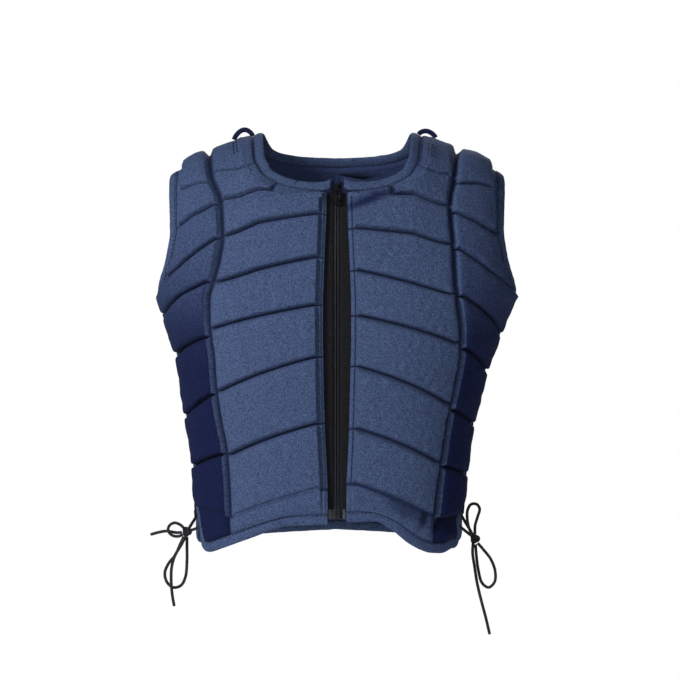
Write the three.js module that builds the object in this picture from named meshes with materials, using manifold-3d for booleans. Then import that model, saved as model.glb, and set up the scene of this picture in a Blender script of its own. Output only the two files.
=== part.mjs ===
// Equestrian body protector: two padded front panels closed by a zip, a padded back panel, folded
// binding round every edge, and a lace down each side that ends in a bow.
// Millimetres, +Z up. The front faces -Y, and the wearer's right side is at -X.
// The origin lies midway between the shoulders, at the height that the shoulder seams hang from.

import * as THREE from 'three';
import { mergeVertices } from 'three/addons/utils/BufferGeometryUtils.js';
import Module from 'manifold-3d';

const wasm = await Module();
wasm.setup();

// Body, millimetres
const BODY_DROP = 400;
const CHEST_HALF_WIDTH = 187;
const CHEST_DEPTH_FRONT = 116;
const CHEST_DEPTH_BACK = 106;
const SQUARENESS = 2.4;

// Padding, millimetres
const PAD_THICKNESS = 10.5;
const GROOVE_DEPTH = 7;
const SEAM_BEVEL = 3;
const CHANNEL_BEVEL = 5;
const NECK_MARGIN = 7;
const ZIP_MARGIN = 5;
const ARMHOLE_MARGIN = 7;
const SIDE_MARGIN = 4;
const SPINE_MARGIN = 0.8;
const SHOULDER_SEAM_GAP = 0.4;
const MAIN_PAD_LINES = [0.35, 0.68];
const SIDE_PAD_LINE = 0.5;
const NECK_LINE_SHARE = 0.55;

// Trim, millimetres
const CLEARANCE = 0.3;
const BINDING_GAP = 0.5;
const BINDING_WIDTH = 9;
const BINDING_THICKNESS = 5;
const BINDING_TAPER = 0.6;
const BINDING_MITRE = 1.35;
const NECK_END_RISE = 2.5;
const SHOULDER_LOOP_WIDTH = 5.5;
const SHOULDER_LOOP_THICKNESS = 1.6;
const SHOULDER_LOOP_RISE = 8;
const SHOULDER_LOOP_FOOT = 0.545;
const SHOULDER_LOOP_HEAD = 0.474;
const SHOULDER_LOOP_STEPS = 8;

// Zip, millimetres
const ZIP_HALF_OPENING = 13;
const ZIP_TOP = -29;
const ZIP_BOTTOM = -366;
const ZIP_STEP = 24;
const TAPE_THICKNESS = 0.8;
const TAPE_GAP = 0.6;
const TAPE_UNDERLAP = 9;
const TAPE_STEP = 0.4;
const TAPE_NARROWS_AT = -356.8;
const TAPE_END_HALF_WIDTH = 8.58;
const COIL_HALF_WIDTH = 2.7;
const COIL_THICKNESS = 2.4;
const TOP_STOP_EDGE = 4.7;
const TOP_STOP_SPACE = 0.6;
const TOP_STOP_DROP = 0.8;
const TOP_STOP_THICKNESS = 1.6;
const FILM_NEAR = 5.6;
const FILM_THICKNESS = 0.4;
const FILM_INSET = 0.2;
const BOX_HALF_WIDTH = 5.2;
const BOX_THICKNESS = 2.2;
const PIN_HALF_WIDTH = 2.6;
const PIN_THICKNESS = 2.8;
const SLIDER_LENGTH = 10;
const SLIDER_WIDTH = 9;
const SLIDER_SPACE = 1;
const SLIDER_PLATE = 1.6;
const SLIDER_BACK = [2, 3.2];
const SLIDER_OVERLAP = 0.3;
const SLIDER_CENTRE = -38.5;
const PULLER_LENGTH = 16;
const PULLER_WIDTH = 6.4;
const PULLER_THICKNESS = 1.2;
const PULLER_BAR = 1.4;
const PULLER_TILT = 8;
const PULLER_PIVOT = -1.5;
const PULLER_WINDOW_PLAY = 0.7;
const PULLER_WINDOW_END = 5.4;
const PULLER_HOLE_SHARE = 0.72;
const PULLER_HOLE_RADIUS = 1.1;
const BRIDGE_WIDTH = 2.2;
const BRIDGE_WINDOW = 2.6;
const BRIDGE_LENGTH = 8.4;
const BRIDGE_THICKNESS = 1.2;
const PLATE_FRONT = -3.6;
const END_LENGTH = 9.5;

// Side lacing, millimetres
const LACE_DIAMETER = 3;
const LOOPS_PER_EDGE = 5;
const LOOP_LENGTH = 6;
const LOOP_BORE = 5.5;
const LOOP_WALL = 1.2;
const LOOP_RISE = 1;
const STRIP_BAR_LENGTH = 6;
const STRIP_BAR_PROUD = 0.1;
const LOOPS_FROM = 40;
const LOOPS_TO = 22;
const KNOT_RADIUS = 4.6;
const LACE_SIDES = 5;
const LACE_STEP = 9;
const LACE_CROSSING = 1;
const LACE_LEAD = { down: 9, out: 3 };
const CORD_SIDES = 8;
const CORD_STEP = 7.5;
const CORD_SAMPLES = 60;
const CORD_GAP = 0.1;

const RIGHT = -1;
const LEFT = 1;
const NAMES = { [RIGHT]: 'right', [LEFT]: 'left' };
const RIDGE = Math.PI / 2;
const CHEST_SHARE = 0.3625;
const CHEST_LEVEL = -CHEST_SHARE * BODY_DROP;
const CHEST_RISE_SHARE = 0.41;
const CHEST_RISE = BODY_DROP * CHEST_RISE_SHARE;

// Tables. drop is a share of BODY_DROP below the origin, and wide and out are shares of
// CHEST_HALF_WIDTH.

// Half-width of the padded outline on each side
const HALF_WIDTH = {
  [RIGHT]: [
    { drop: 0.36, wide: 1 },
    { drop: 0.425, wide: 0.955 },
    { drop: 0.475, wide: 0.92 },
    { drop: 0.52, wide: 0.888 },
    { drop: 0.615, wide: 0.857 },
    { drop: 0.685, wide: 0.835 },
    { drop: 0.75, wide: 0.81 },
    { drop: 0.875, wide: 0.797 },
    { drop: 1, wide: 0.802 },
  ],
  [LEFT]: [
    { drop: 0.36, wide: 1 },
    { drop: 0.41, wide: 0.95 },
    { drop: 0.472, wide: 0.897 },
    { drop: 0.557, wide: 0.828 },
    { drop: 0.603, wide: 0.804 },
    { drop: 0.68, wide: 0.762 },
    { drop: 0.75, wide: 0.738 },
    { drop: 0.833, wide: 0.719 },
    { drop: 0.915, wide: 0.711 },
    { drop: 1, wide: 0.717 },
  ],
};

// Depth in front of and behind the shoulder line, as shares of the two chest depths
const DEPTH = [
  { drop: 0.36, front: 1, back: 1 },
  { drop: 0.5, front: 0.99, back: 0.965 },
  { drop: 0.65, front: 0.915, back: 0.86 },
  { drop: 0.8, front: 0.86, back: 0.815 },
  { drop: 0.9, front: 0.85, back: 0.83 },
  { drop: 1, front: 0.86, back: 0.87 },
];

// Height of the shoulder line above the origin, as a share of BODY_DROP
const SHOULDER_LINE = [
  { out: 0, rise: 0.075 },
  { out: 0.4, rise: 0.066 },
  { out: 0.465, rise: 0.048 },
  { out: 0.54, rise: 0.025 },
  { out: 0.6, rise: 0.015 },
  { out: 0.652, rise: 0.006 },
  { out: 0.743, rise: -0.005 },
  { out: 0.797, rise: -0.018 },
  { out: 0.834, rise: -0.028 },
  { out: 0.914, rise: -0.05 },
  { out: 1, rise: -0.072 },
];

// Edge of the cloth round the neck. The first row lies on the shoulder line.
const NECK_EDGE = {
  front: [
    { out: 0.47 },
    { drop: 0.0163, out: 0.449 },
    { drop: 0.0525, out: 0.401 },
    { drop: 0.0775, out: 0.326 },
    { drop: 0.093, out: 0.23 },
    { drop: 0.1, out: 0.128 },
  ],
  back: [
    { out: 0.47 },
    { drop: -0.02, out: 0.432 },
    { drop: 0.004, out: 0.345 },
    { drop: 0.017, out: 0.21 },
    { drop: 0.0215, out: 0.09 },
  ],
};
const NECK_FRONT_CORNER = 0.103;
const NECK_BACK_CORNER = 0.0225;

// Edge of the cloth beside the zip; apart is a share of ZIP_HALF_OPENING
const ZIP_EDGE = [
  { drop: NECK_FRONT_CORNER, apart: 0.8 },
  { drop: 0.16, apart: 0.82 },
  { drop: 0.275, apart: 0.96 },
  { drop: 0.54, apart: 1.04 },
  { drop: 0.7, apart: 0.92 },
  { drop: 0.84, apart: 0.73 },
  { drop: 1, apart: 0.7 },
];

// Edge of the cloth round the armhole. The first row lies on the shoulder line.
const ARMHOLE_EDGE = [
  { out: 0.868 },
  { drop: 0.1, out: 0.882 },
  { drop: 0.2, out: 0.882 },
  { drop: 0.25, out: 0.9 },
  { drop: 0.302, out: 0.932 },
];
const UNDERARM = 0.368;

// Edge of the cloth down the side; turn is in degrees from the front or the back
const SIDE_EDGE = {
  front: {
    [RIGHT]: [
      { drop: UNDERARM, turn: 78 },
      { drop: 0.6, turn: 78 },
      { drop: 0.86, turn: 77 },
      { drop: 0.92, turn: 68 },
      { drop: 0.975, turn: 63 },
    ],
    [LEFT]: [
      { drop: UNDERARM, turn: 78 },
      { drop: 0.6, turn: 78 },
      { drop: 0.86, turn: 77 },
      { drop: 0.925, turn: 68 },
      { drop: 0.968, turn: 66 },
    ],
  },
  back: {
    [RIGHT]: [
      { drop: UNDERARM, turn: 78 },
      { drop: 0.9, turn: 77 },
      { drop: 0.96, turn: 76 },
    ],
    [LEFT]: [
      { drop: UNDERARM, turn: 78 },
      { drop: 0.9, turn: 77 },
      { drop: 0.96, turn: 76 },
    ],
  },
};

// Lower edge of the cloth
const HEM = {
  front: {
    [RIGHT]: [
      { out: 0, drop: 0.905 },
      { out: 0.26, drop: 0.908 },
      { out: 0.36, drop: 0.918 },
      { out: 0.465, drop: 0.936 },
      { out: 0.6, drop: 0.958 },
      { out: 0.7, drop: 0.975 },
    ],
    [LEFT]: [
      { out: 0, drop: 0.9 },
      { out: 0.22, drop: 0.898 },
      { out: 0.34, drop: 0.925 },
      { out: 0.43, drop: 0.957 },
      { out: 0.52, drop: 0.975 },
      { out: 0.58, drop: 0.977 },
      { out: 0.64, drop: 0.966 },
    ],
  },
  back: {
    [RIGHT]: [
      { out: 0, drop: 0.93 },
      { out: 0.4, drop: 0.94 },
      { out: 0.8, drop: 0.96 },
    ],
    [LEFT]: [
      { out: 0, drop: 0.93 },
      { out: 0.4, drop: 0.94 },
      { out: 0.8, drop: 0.96 },
    ],
  },
};

// Channel between the main and the side column of pads. The first row lies on the shoulder line.
const CHANNEL = {
  front: {
    [RIGHT]: [
      { out: 0.69 },
      { drop: 0.06, out: 0.672 },
      { drop: 0.133, out: 0.62 },
      { drop: 0.223, out: 0.61 },
      { drop: 0.275, out: 0.626 },
      { drop: 0.46, out: 0.68 },
      { drop: 0.593, out: 0.652 },
      { drop: 0.75, out: 0.596 },
      { drop: 0.885, out: 0.578 },
      { drop: 1, out: 0.57 },
    ],
    [LEFT]: [
      { out: 0.65 },
      { drop: 0.068, out: 0.629 },
      { drop: 0.142, out: 0.604 },
      { drop: 0.239, out: 0.62 },
      { drop: 0.345, out: 0.632 },
      { drop: 0.458, out: 0.663 },
      { drop: 0.557, out: 0.65 },
      { drop: 0.63, out: 0.619 },
      { drop: 0.782, out: 0.564 },
      { drop: 0.91, out: 0.529 },
      { drop: 1, out: 0.518 },
    ],
  },
  back: {
    [RIGHT]: [
      { out: 0.67 },
      { drop: 0.1, out: 0.64 },
      { drop: 0.25, out: 0.6 },
      { drop: 0.5, out: 0.58 },
      { drop: 0.75, out: 0.53 },
      { drop: 1, out: 0.52 },
    ],
    [LEFT]: [
      { out: 0.67 },
      { drop: 0.1, out: 0.64 },
      { drop: 0.25, out: 0.6 },
      { drop: 0.5, out: 0.57 },
      { drop: 0.75, out: 0.51 },
      { drop: 1, out: 0.49 },
    ],
  },
};

// Seams between pads, from the shoulder down: their drop at the zip or spine, at both sides of the
// channel, and at the outer edge
const SEAMS = {
  front: {
    [RIGHT]: [
      { middle: 0.03, channel: 0.06, beside: 0.078, edge: 0.112 },
      { middle: 0.08, channel: 0.128, beside: 0.135, edge: 0.195 },
      { middle: 0.162, channel: 0.216, beside: 0.222, edge: 0.305 },
      { middle: 0.272, channel: 0.328, beside: 0.339, edge: 0.415 },
      { middle: 0.388, channel: 0.448, beside: 0.47, edge: 0.51 },
      { middle: 0.518, channel: 0.602, beside: 0.612, edge: 0.665 },
      { middle: 0.682, channel: 0.758, beside: 0.758, edge: 0.788 },
      { middle: 0.842, channel: 0.912, beside: 0.9, edge: 0.902 },
    ],
    [LEFT]: [
      { middle: 0.035, channel: 0.068, beside: 0.082, edge: 0.105 },
      { middle: 0.086, channel: 0.141, beside: 0.158, edge: 0.208 },
      { middle: 0.2, channel: 0.237, beside: 0.25, edge: 0.345 },
      { middle: 0.304, channel: 0.361, beside: 0.372, edge: 0.46 },
      { middle: 0.415, channel: 0.482, beside: 0.502, edge: 0.552 },
      { middle: 0.542, channel: 0.634, beside: 0.65, edge: 0.685 },
      { middle: 0.695, channel: 0.777, beside: 0.788, edge: 0.808 },
      { middle: 0.828, channel: 0.905, beside: 0.915, edge: 0.92 },
    ],
  },
  back: {
    [RIGHT]: [
      { middle: -0.01, channel: 0.06, beside: 0.078, edge: 0.105 },
      { middle: 0.013, channel: 0.135, beside: 0.15, edge: 0.2 },
      { middle: 0.1, channel: 0.23, beside: 0.24, edge: 0.32 },
      { middle: 0.2375, channel: 0.35, beside: 0.36, edge: 0.43 },
      { middle: 0.375, channel: 0.475, beside: 0.485, edge: 0.54 },
      { middle: 0.525, channel: 0.61, beside: 0.62, edge: 0.67 },
      { middle: 0.68, channel: 0.75, beside: 0.76, edge: 0.8 },
      { middle: 0.84, channel: 0.89, beside: 0.9, edge: 0.92 },
    ],
  },
};
SEAMS.back[LEFT] = SEAMS.back[RIGHT];

// Points of the free cords of each bow, chosen by hand, in millimetres
const BOW_ROUTES = {
  right: {
    knot: [-149.5, -18, -381],
    small_loop: [
      [-151, -20, -379],
      [-156, -22, -374],
      [-162, -23, -372],
      [-167, -22.5, -375],
      [-168, -22, -380],
      [-164, -21.5, -384.5],
      [-158, -21, -385.5],
      [-152, -20, -383],
    ],
    large_loop: [
      [-152, -17.5, -385],
      [-156, -18, -393],
      [-161, -18.5, -404],
      [-168, -19, -413],
      [-171.5, -19, -422],
      [-169.5, -19, -431],
      [-163, -19, -436.5],
      [-155.5, -18.5, -434.5],
      [-151, -18, -426],
      [-149.5, -17.5, -410],
      [-149.5, -17, -396],
      [-149.5, -17, -386],
    ],
    short_end: [
      [-152.5, -16, -381.5],
      [-160, -15.5, -382],
      [-170, -15, -380.5],
      [-179, -15, -382],
      [-186, -15, -384],
    ],
    long_end: [
      [-151, -21, -386],
      [-155, -22.5, -394],
      [-161, -23.5, -404],
      [-164.5, -24, -416],
      [-165, -24, -430],
      [-164, -24, -443],
      [-162, -24, -455],
    ],
  },
  left: {
    knot: [137.5, -18, -388],
    small_loop: [
      [134.5, -23, -384],
      [131, -26, -376],
      [129.5, -26.5, -367],
      [130, -25.5, -359],
      [133.5, -23.5, -353.5],
      [139, -23, -353.5],
      [142, -22.5, -358],
      [140, -22, -366],
      [137.5, -21, -375],
      [137.5, -20, -384],
    ],
    large_loop: [
      [139.5, -18, -391.5],
      [146, -18.5, -399],
      [153, -19, -408],
      [157.5, -19, -420],
      [157, -19, -431],
      [151, -19, -436.5],
      [144.5, -18.5, -432],
      [141, -18, -420],
      [139, -17.5, -406],
      [138, -17, -392.5],
    ],
    long_end: [
      [135.5, -20.5, -392],
      [135, -22, -402],
      [137, -23, -416],
      [139.5, -23.5, -432],
      [143.5, -23.5, -449],
      [148, -23.5, -466],
      [152, -23.5, -483],
    ],
  },
};

const navy = new THREE.MeshStandardMaterial({ color: 0x3c4f78, roughness: 0.9, metalness: 0 });
const deepNavy = new THREE.MeshStandardMaterial({ color: 0x2c3a5e, roughness: 0.9, metalness: 0 });
const blackCloth = new THREE.MeshStandardMaterial({ color: 0x121214, roughness: 0.85, metalness: 0 });
const blackMetal = new THREE.MeshStandardMaterial({ color: 0x17171a, roughness: 0.35, metalness: 0.8 });
const blackPlastic = new THREE.MeshStandardMaterial({ color: 0x141416, roughness: 0.5, metalness: 0 });
const film = new THREE.MeshStandardMaterial({ color: 0x5a5d62, roughness: 0.35, metalness: 0 });

const lerp = THREE.MathUtils.lerp;
const radians = THREE.MathUtils.degToRad;

function signedPower(value, exponent) {
  return Math.sign(value) * Math.abs(value) ** exponent;
}

// A smooth curve through the rows of a table, which never overshoots them
function curve(table, from, to) {
  const rows = [...table].sort((a, b) => a[from] - b[from]);
  const slopes = [];
  for (let i = 0; i < rows.length - 1; i++) {
    slopes.push((rows[i + 1][to] - rows[i][to]) / (rows[i + 1][from] - rows[i][from]));
  }
  const tangents = rows.map((row, i) => {
    const before = slopes[Math.max(i - 1, 0)];
    const after = slopes[Math.min(i, slopes.length - 1)];
    return before * after <= 0 ? 0 : (2 * before * after) / (before + after);
  });
  return (at) => {
    const last = rows.length - 1;
    if (at <= rows[0][from]) {
      return rows[0][to];
    }
    if (at >= rows[last][from]) {
      return rows[last][to];
    }
    const i = rows.findIndex((row) => row[from] > at) - 1;
    const span = rows[i + 1][from] - rows[i][from];
    const t = (at - rows[i][from]) / span;
    const rise = rows[i][to] * (1 + 2 * t) * (1 - t) ** 2 + rows[i + 1][to] * t * t * (3 - 2 * t);
    return rise + span * (tangents[i] * t * (1 - t) ** 2 - tangents[i + 1] * t * t * (1 - t));
  };
}

const wideAt = {
  [RIGHT]: curve(HALF_WIDTH[RIGHT], 'drop', 'wide'),
  [LEFT]: curve(HALF_WIDTH[LEFT], 'drop', 'wide'),
};
const frontShareAt = curve(DEPTH, 'drop', 'front');
const backShareAt = curve(DEPTH, 'drop', 'back');
const riseAt = curve(SHOULDER_LINE, 'out', 'rise');

function halfWidth(side, z) {
  return CHEST_HALF_WIDTH * wideAt[side](-z / BODY_DROP);
}

function shoulderRise(x) {
  return BODY_DROP * riseAt(Math.abs(x) / CHEST_HALF_WIDTH) - CHEST_LEVEL;
}

// A place on the body is a turn round it, from 0 at the front to PI at the back, and a lift, which
// is 0 at chest level and RIDGE on the shoulder line.
function skin(side, turn, lift) {
  const level = CHEST_LEVEL + CHEST_RISE * Math.min(lift, 0);
  const drop = -level / BODY_DROP;
  const x = halfWidth(side, level) * signedPower(Math.sin(turn), 2 / SQUARENESS);
  const forward = signedPower(Math.cos(turn), 2 / SQUARENESS);
  const depth = forward > 0
    ? CHEST_DEPTH_FRONT * frontShareAt(drop)
    : CHEST_DEPTH_BACK * backShareAt(drop);
  const rolled = Math.max(lift, 0);
  const z = level + shoulderRise(x) * Math.sin(rolled);
  return new THREE.Vector3(side * x, -depth * forward * Math.cos(rolled), z);
}

function normalAt(side, turn, lift) {
  const step = 1e-3;
  const across = skin(side, turn + step, lift).sub(skin(side, turn - step, lift));
  const up = skin(side, turn, lift + step).sub(skin(side, turn, lift - step));
  return across.cross(up).multiplyScalar(side).normalize();
}

// The point that lies sunk millimetres under the padded outline
function under({ side, turn, lift }, sunk) {
  return skin(side, turn, lift).addScaledVector(normalAt(side, turn, lift), -sunk);
}

function liftAt(x, z) {
  if (z < CHEST_LEVEL) {
    return (z - CHEST_LEVEL) / CHEST_RISE;
  }
  return Math.asin(Math.min(1, (z - CHEST_LEVEL) / shoulderRise(x)));
}

function turnAt(side, x, z) {
  const share = Math.min(1, x / halfWidth(side, Math.min(z, CHEST_LEVEL)));
  return Math.asin(share ** (SQUARENESS / 2));
}

function placeRow(side, row, width = CHEST_HALF_WIDTH, column = 'out') {
  const x = row[column] * width;
  if (row.drop === undefined) {
    return { turn: turnAt(side, x, CHEST_LEVEL), lift: RIDGE };
  }
  const z = -row.drop * BODY_DROP;
  return { turn: turnAt(side, x, z), lift: liftAt(x, z), drop: row.drop };
}

function sideRow(side, row) {
  const z = -row.drop * BODY_DROP;
  return { turn: radians(row.turn), lift: liftAt(0, z), drop: row.drop };
}

// A line up the body, given as turn for each lift, with the lift for each drop
function line(rows) {
  return {
    turn: curve(rows, 'lift', 'turn'),
    lift: curve(rows.filter((row) => row.drop !== undefined), 'drop', 'lift'),
  };
}

function bodyLines(side, face) {
  const neck = NECK_EDGE[face].map((row) => placeRow(side, row));
  const middle = face === 'front'
    ? ZIP_EDGE.map((row) => placeRow(side, row, ZIP_HALF_OPENING, 'apart'))
    : [{ drop: NECK_BACK_CORNER, out: 0 }, { drop: 1, out: 0 }].map((row) => placeRow(side, row));
  const armhole = ARMHOLE_EDGE.map((row) => placeRow(side, row));
  const down = SIDE_EDGE[face][side].map((row) => sideRow(side, row));
  return {
    inner: line([...neck, ...middle]),
    channel: line(CHANNEL[face][side].map((row) => placeRow(side, row))),
    outer: line([...armhole, ...down]),
    corner: middle[0].lift,
    underarm: down[0].lift,
  };
}

// Moves a place on a line over the body, by so many millimetres away from the middle: square to
// the line, or level where it has to stay at its height
function aside(side, path, lift, distance, level) {
  const step = 1e-3;
  const turn = path.turn(lift);
  const point = skin(side, turn, lift);
  const across = skin(side, turn + step, lift).sub(point).divideScalar(step);
  if (level) {
    return { turn: turn + distance / across.length(), lift };
  }
  const above = skin(side, path.turn(lift + 10 * step), lift + 10 * step);
  const below = skin(side, path.turn(lift - 10 * step), lift - 10 * step);
  const away = below.sub(above).normalize().cross(normalAt(side, turn, lift));
  away.multiplyScalar(-side * distance);
  const up = point.sub(skin(side, turn, lift - step)).divideScalar(step);
  const slant = across.dot(up);
  const square = across.lengthSq() * up.lengthSq() - slant ** 2;
  return {
    turn: turn + (away.dot(across) * up.lengthSq() - away.dot(up) * slant) / square,
    lift: lift + (away.dot(up) * across.lengthSq() - away.dot(across) * slant) / square,
  };
}

function between(a, b, share) {
  return { turn: lerp(a.turn, b.turn, share), lift: lerp(a.lift, b.lift, share) };
}

// The lines across a panel: each seam, the bevels beside it and the middle of each pad
function crossLines(seams, lines) {
  const levels = [{ middle: RIDGE, channel: RIDGE, beside: RIDGE, edge: RIDGE }];
  for (const seam of seams) {
    levels.push({
      middle: lines.inner.lift(seam.middle),
      channel: lines.channel.lift(seam.channel),
      beside: lines.channel.lift(seam.beside),
      edge: lines.outer.lift(seam.edge),
    });
  }
  const rows = [];
  for (let k = 0; k < levels.length - 1; k++) {
    const top = levels[k];
    const bottom = levels[k + 1];
    const bevel = SEAM_BEVEL / ((top.channel - bottom.channel) * CHEST_RISE);
    const shares = [0, 1 - bevel];
    if (k > 0) {
      shares.push(bevel);
    }
    if (top.channel > 0) {
      shares.push(0.5);
    }
    const toCorner = (top.middle - lines.corner) / (top.middle - bottom.middle);
    if (toCorner > 0 && toCorner < 1) {
      shares.push(toCorner, toCorner * NECK_LINE_SHARE);
    }
    const toUnderarm = (top.edge - lines.underarm) / (top.edge - bottom.edge);
    if (toUnderarm > 0 && toUnderarm < 1) {
      shares.push(toUnderarm);
    }
    for (const share of shares.sort((a, b) => a - b)) {
      const row = { sunk: share === 0 && k > 0 };
      for (const key of Object.keys(top)) {
        row[key] = lerp(top[key], bottom[key], share);
      }
      rows.push(row);
    }
  }
  rows.push({ ...levels[levels.length - 1], sunk: true });
  return rows;
}

function hemLift(side, face, turn) {
  const dropAt = curve(HEM[face][side], 'out', 'drop');
  const x = side * skin(side, turn, liftAt(0, -BODY_DROP)).x;
  return liftAt(0, -BODY_DROP * dropAt(x / CHEST_HALF_WIDTH));
}

function hemOn(side, face, path) {
  let lift = liftAt(0, -BODY_DROP);
  for (let i = 0; i < 6; i++) {
    lift = hemLift(side, face, path.turn(lift));
  }
  return lift;
}

// The places along one line across half a panel, each with its depth under the padded outline
function linePlaces(side, face, lines, row) {
  const onNeck = row.middle > lines.corner - 1e-6;
  const onArm = row.edge > lines.underarm;
  const besideMiddle = face === 'front' ? ZIP_MARGIN : SPINE_MARGIN;
  const innerMargin = onNeck ? NECK_MARGIN : besideMiddle;
  const outerMargin = onArm ? ARMHOLE_MARGIN : SIDE_MARGIN;
  const level = row.hem || row.middle === RIDGE;
  const inner = (distance) => aside(side, lines.inner, row.middle, distance, level);
  const outer = (distance) => aside(side, lines.outer, row.edge, -distance, level);
  const innerTop = inner(innerMargin + SEAM_BEVEL);
  const outerTop = outer(outerMargin + SEAM_BEVEL);
  const mainTop = aside(side, lines.channel, row.channel, -CHANNEL_BEVEL, level);
  const sideTop = aside(side, lines.channel, row.beside, CHANNEL_BEVEL, level);
  const top = row.sunk ? GROOVE_DEPTH : 0;
  const places = [
    [inner(0), GROOVE_DEPTH],
    [inner(innerMargin), GROOVE_DEPTH],
    [innerTop, top],
    ...MAIN_PAD_LINES.map((share) => [between(innerTop, mainTop, share), top]),
    [mainTop, top],
    [{ turn: lines.channel.turn(row.channel), lift: row.channel }, GROOVE_DEPTH],
    [sideTop, top],
    [between(sideTop, outerTop, SIDE_PAD_LINE), top],
    [outerTop, top],
    [outer(outerMargin), GROOVE_DEPTH],
    [outer(0), GROOVE_DEPTH],
  ];
  return places.map(([{ turn, lift }, sunk]) => {
    const settled = row.hem ? hemLift(side, face, turn) : lift;
    return facing({ side, turn, lift: settled, sunk }, face);
  });
}

// One half of a panel. On the back panel the two halves are joined where joined says so.
function halfPanel(side, face) {
  const lines = bodyLines(side, face);
  const rows = crossLines(SEAMS[face][side], lines);
  rows.push({
    middle: hemOn(side, face, lines.inner),
    channel: hemOn(side, face, lines.channel),
    beside: hemOn(side, face, lines.channel),
    edge: hemOn(side, face, lines.outer),
    sunk: true,
    hem: true,
  });
  return {
    grid: rows.map((row) => linePlaces(side, face, lines, row)),
    joined: rows.map((row) => face === 'back' && row.middle < lines.corner + 1e-6),
  };
}

function facing(place, face) {
  return face === 'back' ? { ...place, turn: Math.PI - place.turn } : place;
}

// Collects the faces of one closed solid
class Shell {
  constructor() {
    this.positions = [];
    this.index = [];
  }

  point(vector) {
    this.positions.push(vector.x, vector.y, vector.z);
    return this.positions.length / 3 - 1;
  }

  quad(a, b, c, d) {
    this.index.push(a, b, c, a, c, d);
  }

  // Joins equal points, drops faces that have closed up, and turns the faces outwards
  geometry() {
    let geometry = new THREE.BufferGeometry();
    geometry.setAttribute('position', new THREE.Float32BufferAttribute(this.positions, 3));
    geometry.setIndex(this.index);
    geometry = mergeVertices(geometry, 1e-3);
    const { index } = geometry;
    const kept = [];
    for (let i = 0; i < index.count; i += 3) {
      const [a, b, c] = [index.getX(i), index.getX(i + 1), index.getX(i + 2)];
      if (a !== b && b !== c && c !== a) {
        kept.push(a, b, c);
      }
    }
    geometry.setIndex(volumeOf(geometry, kept) < 0 ? kept.reverse() : kept);
    geometry.computeVertexNormals();
    return geometry;
  }
}

function volumeOf(geometry, index) {
  const { position } = geometry.attributes;
  const [a, b, c] = [new THREE.Vector3(), new THREE.Vector3(), new THREE.Vector3()];
  let six = 0;
  for (let i = 0; i < index.length; i += 3) {
    a.fromBufferAttribute(position, index[i]);
    b.fromBufferAttribute(position, index[i + 1]);
    c.fromBufferAttribute(position, index[i + 2]);
    six += a.dot(b.cross(c));
  }
  return six;
}

function seamGap(point, place, face) {
  if (place.lift < RIDGE - 1e-6) {
    return point;
  }
  return point.setY((face === 'back' ? 0.5 : -0.5) * SHOULDER_SEAM_GAP);
}

function addHalf(shell, { grid, joined }, face) {
  const lay = (place, sunk) => shell.point(seamGap(under(place, sunk), place, face));
  const outside = grid.map((row) => row.map((place) => lay(place, place.sunk)));
  const inside = grid.map((row) => row.map((place) => lay(place, PAD_THICKNESS)));
  const across = grid[0].length - 1;
  const down = grid.length - 1;
  const flip = grid[0][0].side * (face === 'back' ? -1 : 1) > 0;
  const quad = (a, b, c, d) => (flip ? shell.quad(a, b, c, d) : shell.quad(d, c, b, a));
  for (let i = 0; i < down; i++) {
    for (let j = 0; j < across; j++) {
      quad(outside[i][j], outside[i + 1][j], outside[i + 1][j + 1], outside[i][j + 1]);
      quad(inside[i][j + 1], inside[i + 1][j + 1], inside[i + 1][j], inside[i][j]);
    }
    if (!(joined[i] && joined[i + 1])) {
      quad(inside[i][0], inside[i + 1][0], outside[i + 1][0], outside[i][0]);
    }
    quad(outside[i][across], outside[i + 1][across], inside[i + 1][across], inside[i][across]);
  }
  for (let j = 0; j < across; j++) {
    quad(inside[0][j], outside[0][j], outside[0][j + 1], inside[0][j + 1]);
    quad(outside[down][j], inside[down][j], inside[down][j + 1], outside[down][j + 1]);
  }
}

// A closed tube through sections that have the same number of points
function loft(sections) {
  const shell = new Shell();
  const rings = sections.map((section) => section.map((point) => shell.point(point)));
  const count = rings[0].length;
  for (let i = 0; i < rings.length - 1; i++) {
    for (let j = 0; j < count; j++) {
      const k = (j + 1) % count;
      shell.quad(rings[i][j], rings[i][k], rings[i + 1][k], rings[i + 1][j]);
    }
  }
  const first = rings[0];
  const last = rings[rings.length - 1];
  for (let j = 1; j < count - 1; j++) {
    shell.index.push(first[0], first[j + 1], first[j]);
    shell.index.push(last[0], last[j], last[j + 1]);
  }
  return shell.geometry();
}

const part = new THREE.Group();

function add(name, geometry, material) {
  const mesh = new THREE.Mesh(geometry, material);
  mesh.name = name;
  part.add(mesh);
  return mesh;
}

// Panels
function frontPanel(side) {
  const shell = new Shell();
  addHalf(shell, halfPanel(side, 'front'), 'front');
  add(`front_panel_${NAMES[side]}`, shell.geometry(), navy);
}

function backPanel() {
  const shell = new Shell();
  for (const side of [RIGHT, LEFT]) {
    addHalf(shell, halfPanel(side, 'back'), 'back');
  }
  add('back_panel', shell.geometry(), navy);
}

// The sections of a band that continues the cloth past its edge
function bandSections(places, sign) {
  const depth = (GROOVE_DEPTH + PAD_THICKNESS) / 2;
  const centres = places.map((place) => under(place, depth));
  return centres.map((centre, i) => {
    const before = i === 0 ? null : centre.clone().sub(centres[i - 1]).normalize();
    const after = i === centres.length - 1 ? null : centres[i + 1].clone().sub(centre).normalize();
    const forward = before ?? after;
    const onward = after ?? before;
    const along = forward.clone().add(onward).normalize();
    const stretch = Math.min(BINDING_MITRE, 1 / along.dot(onward));
    const normal = normalAt(places[i].side, places[i].turn, places[i].lift);
    const away = along.clone().cross(normal).normalize().multiplyScalar(sign * stretch);
    return { centre, away, normal, along };
  });
}

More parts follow.
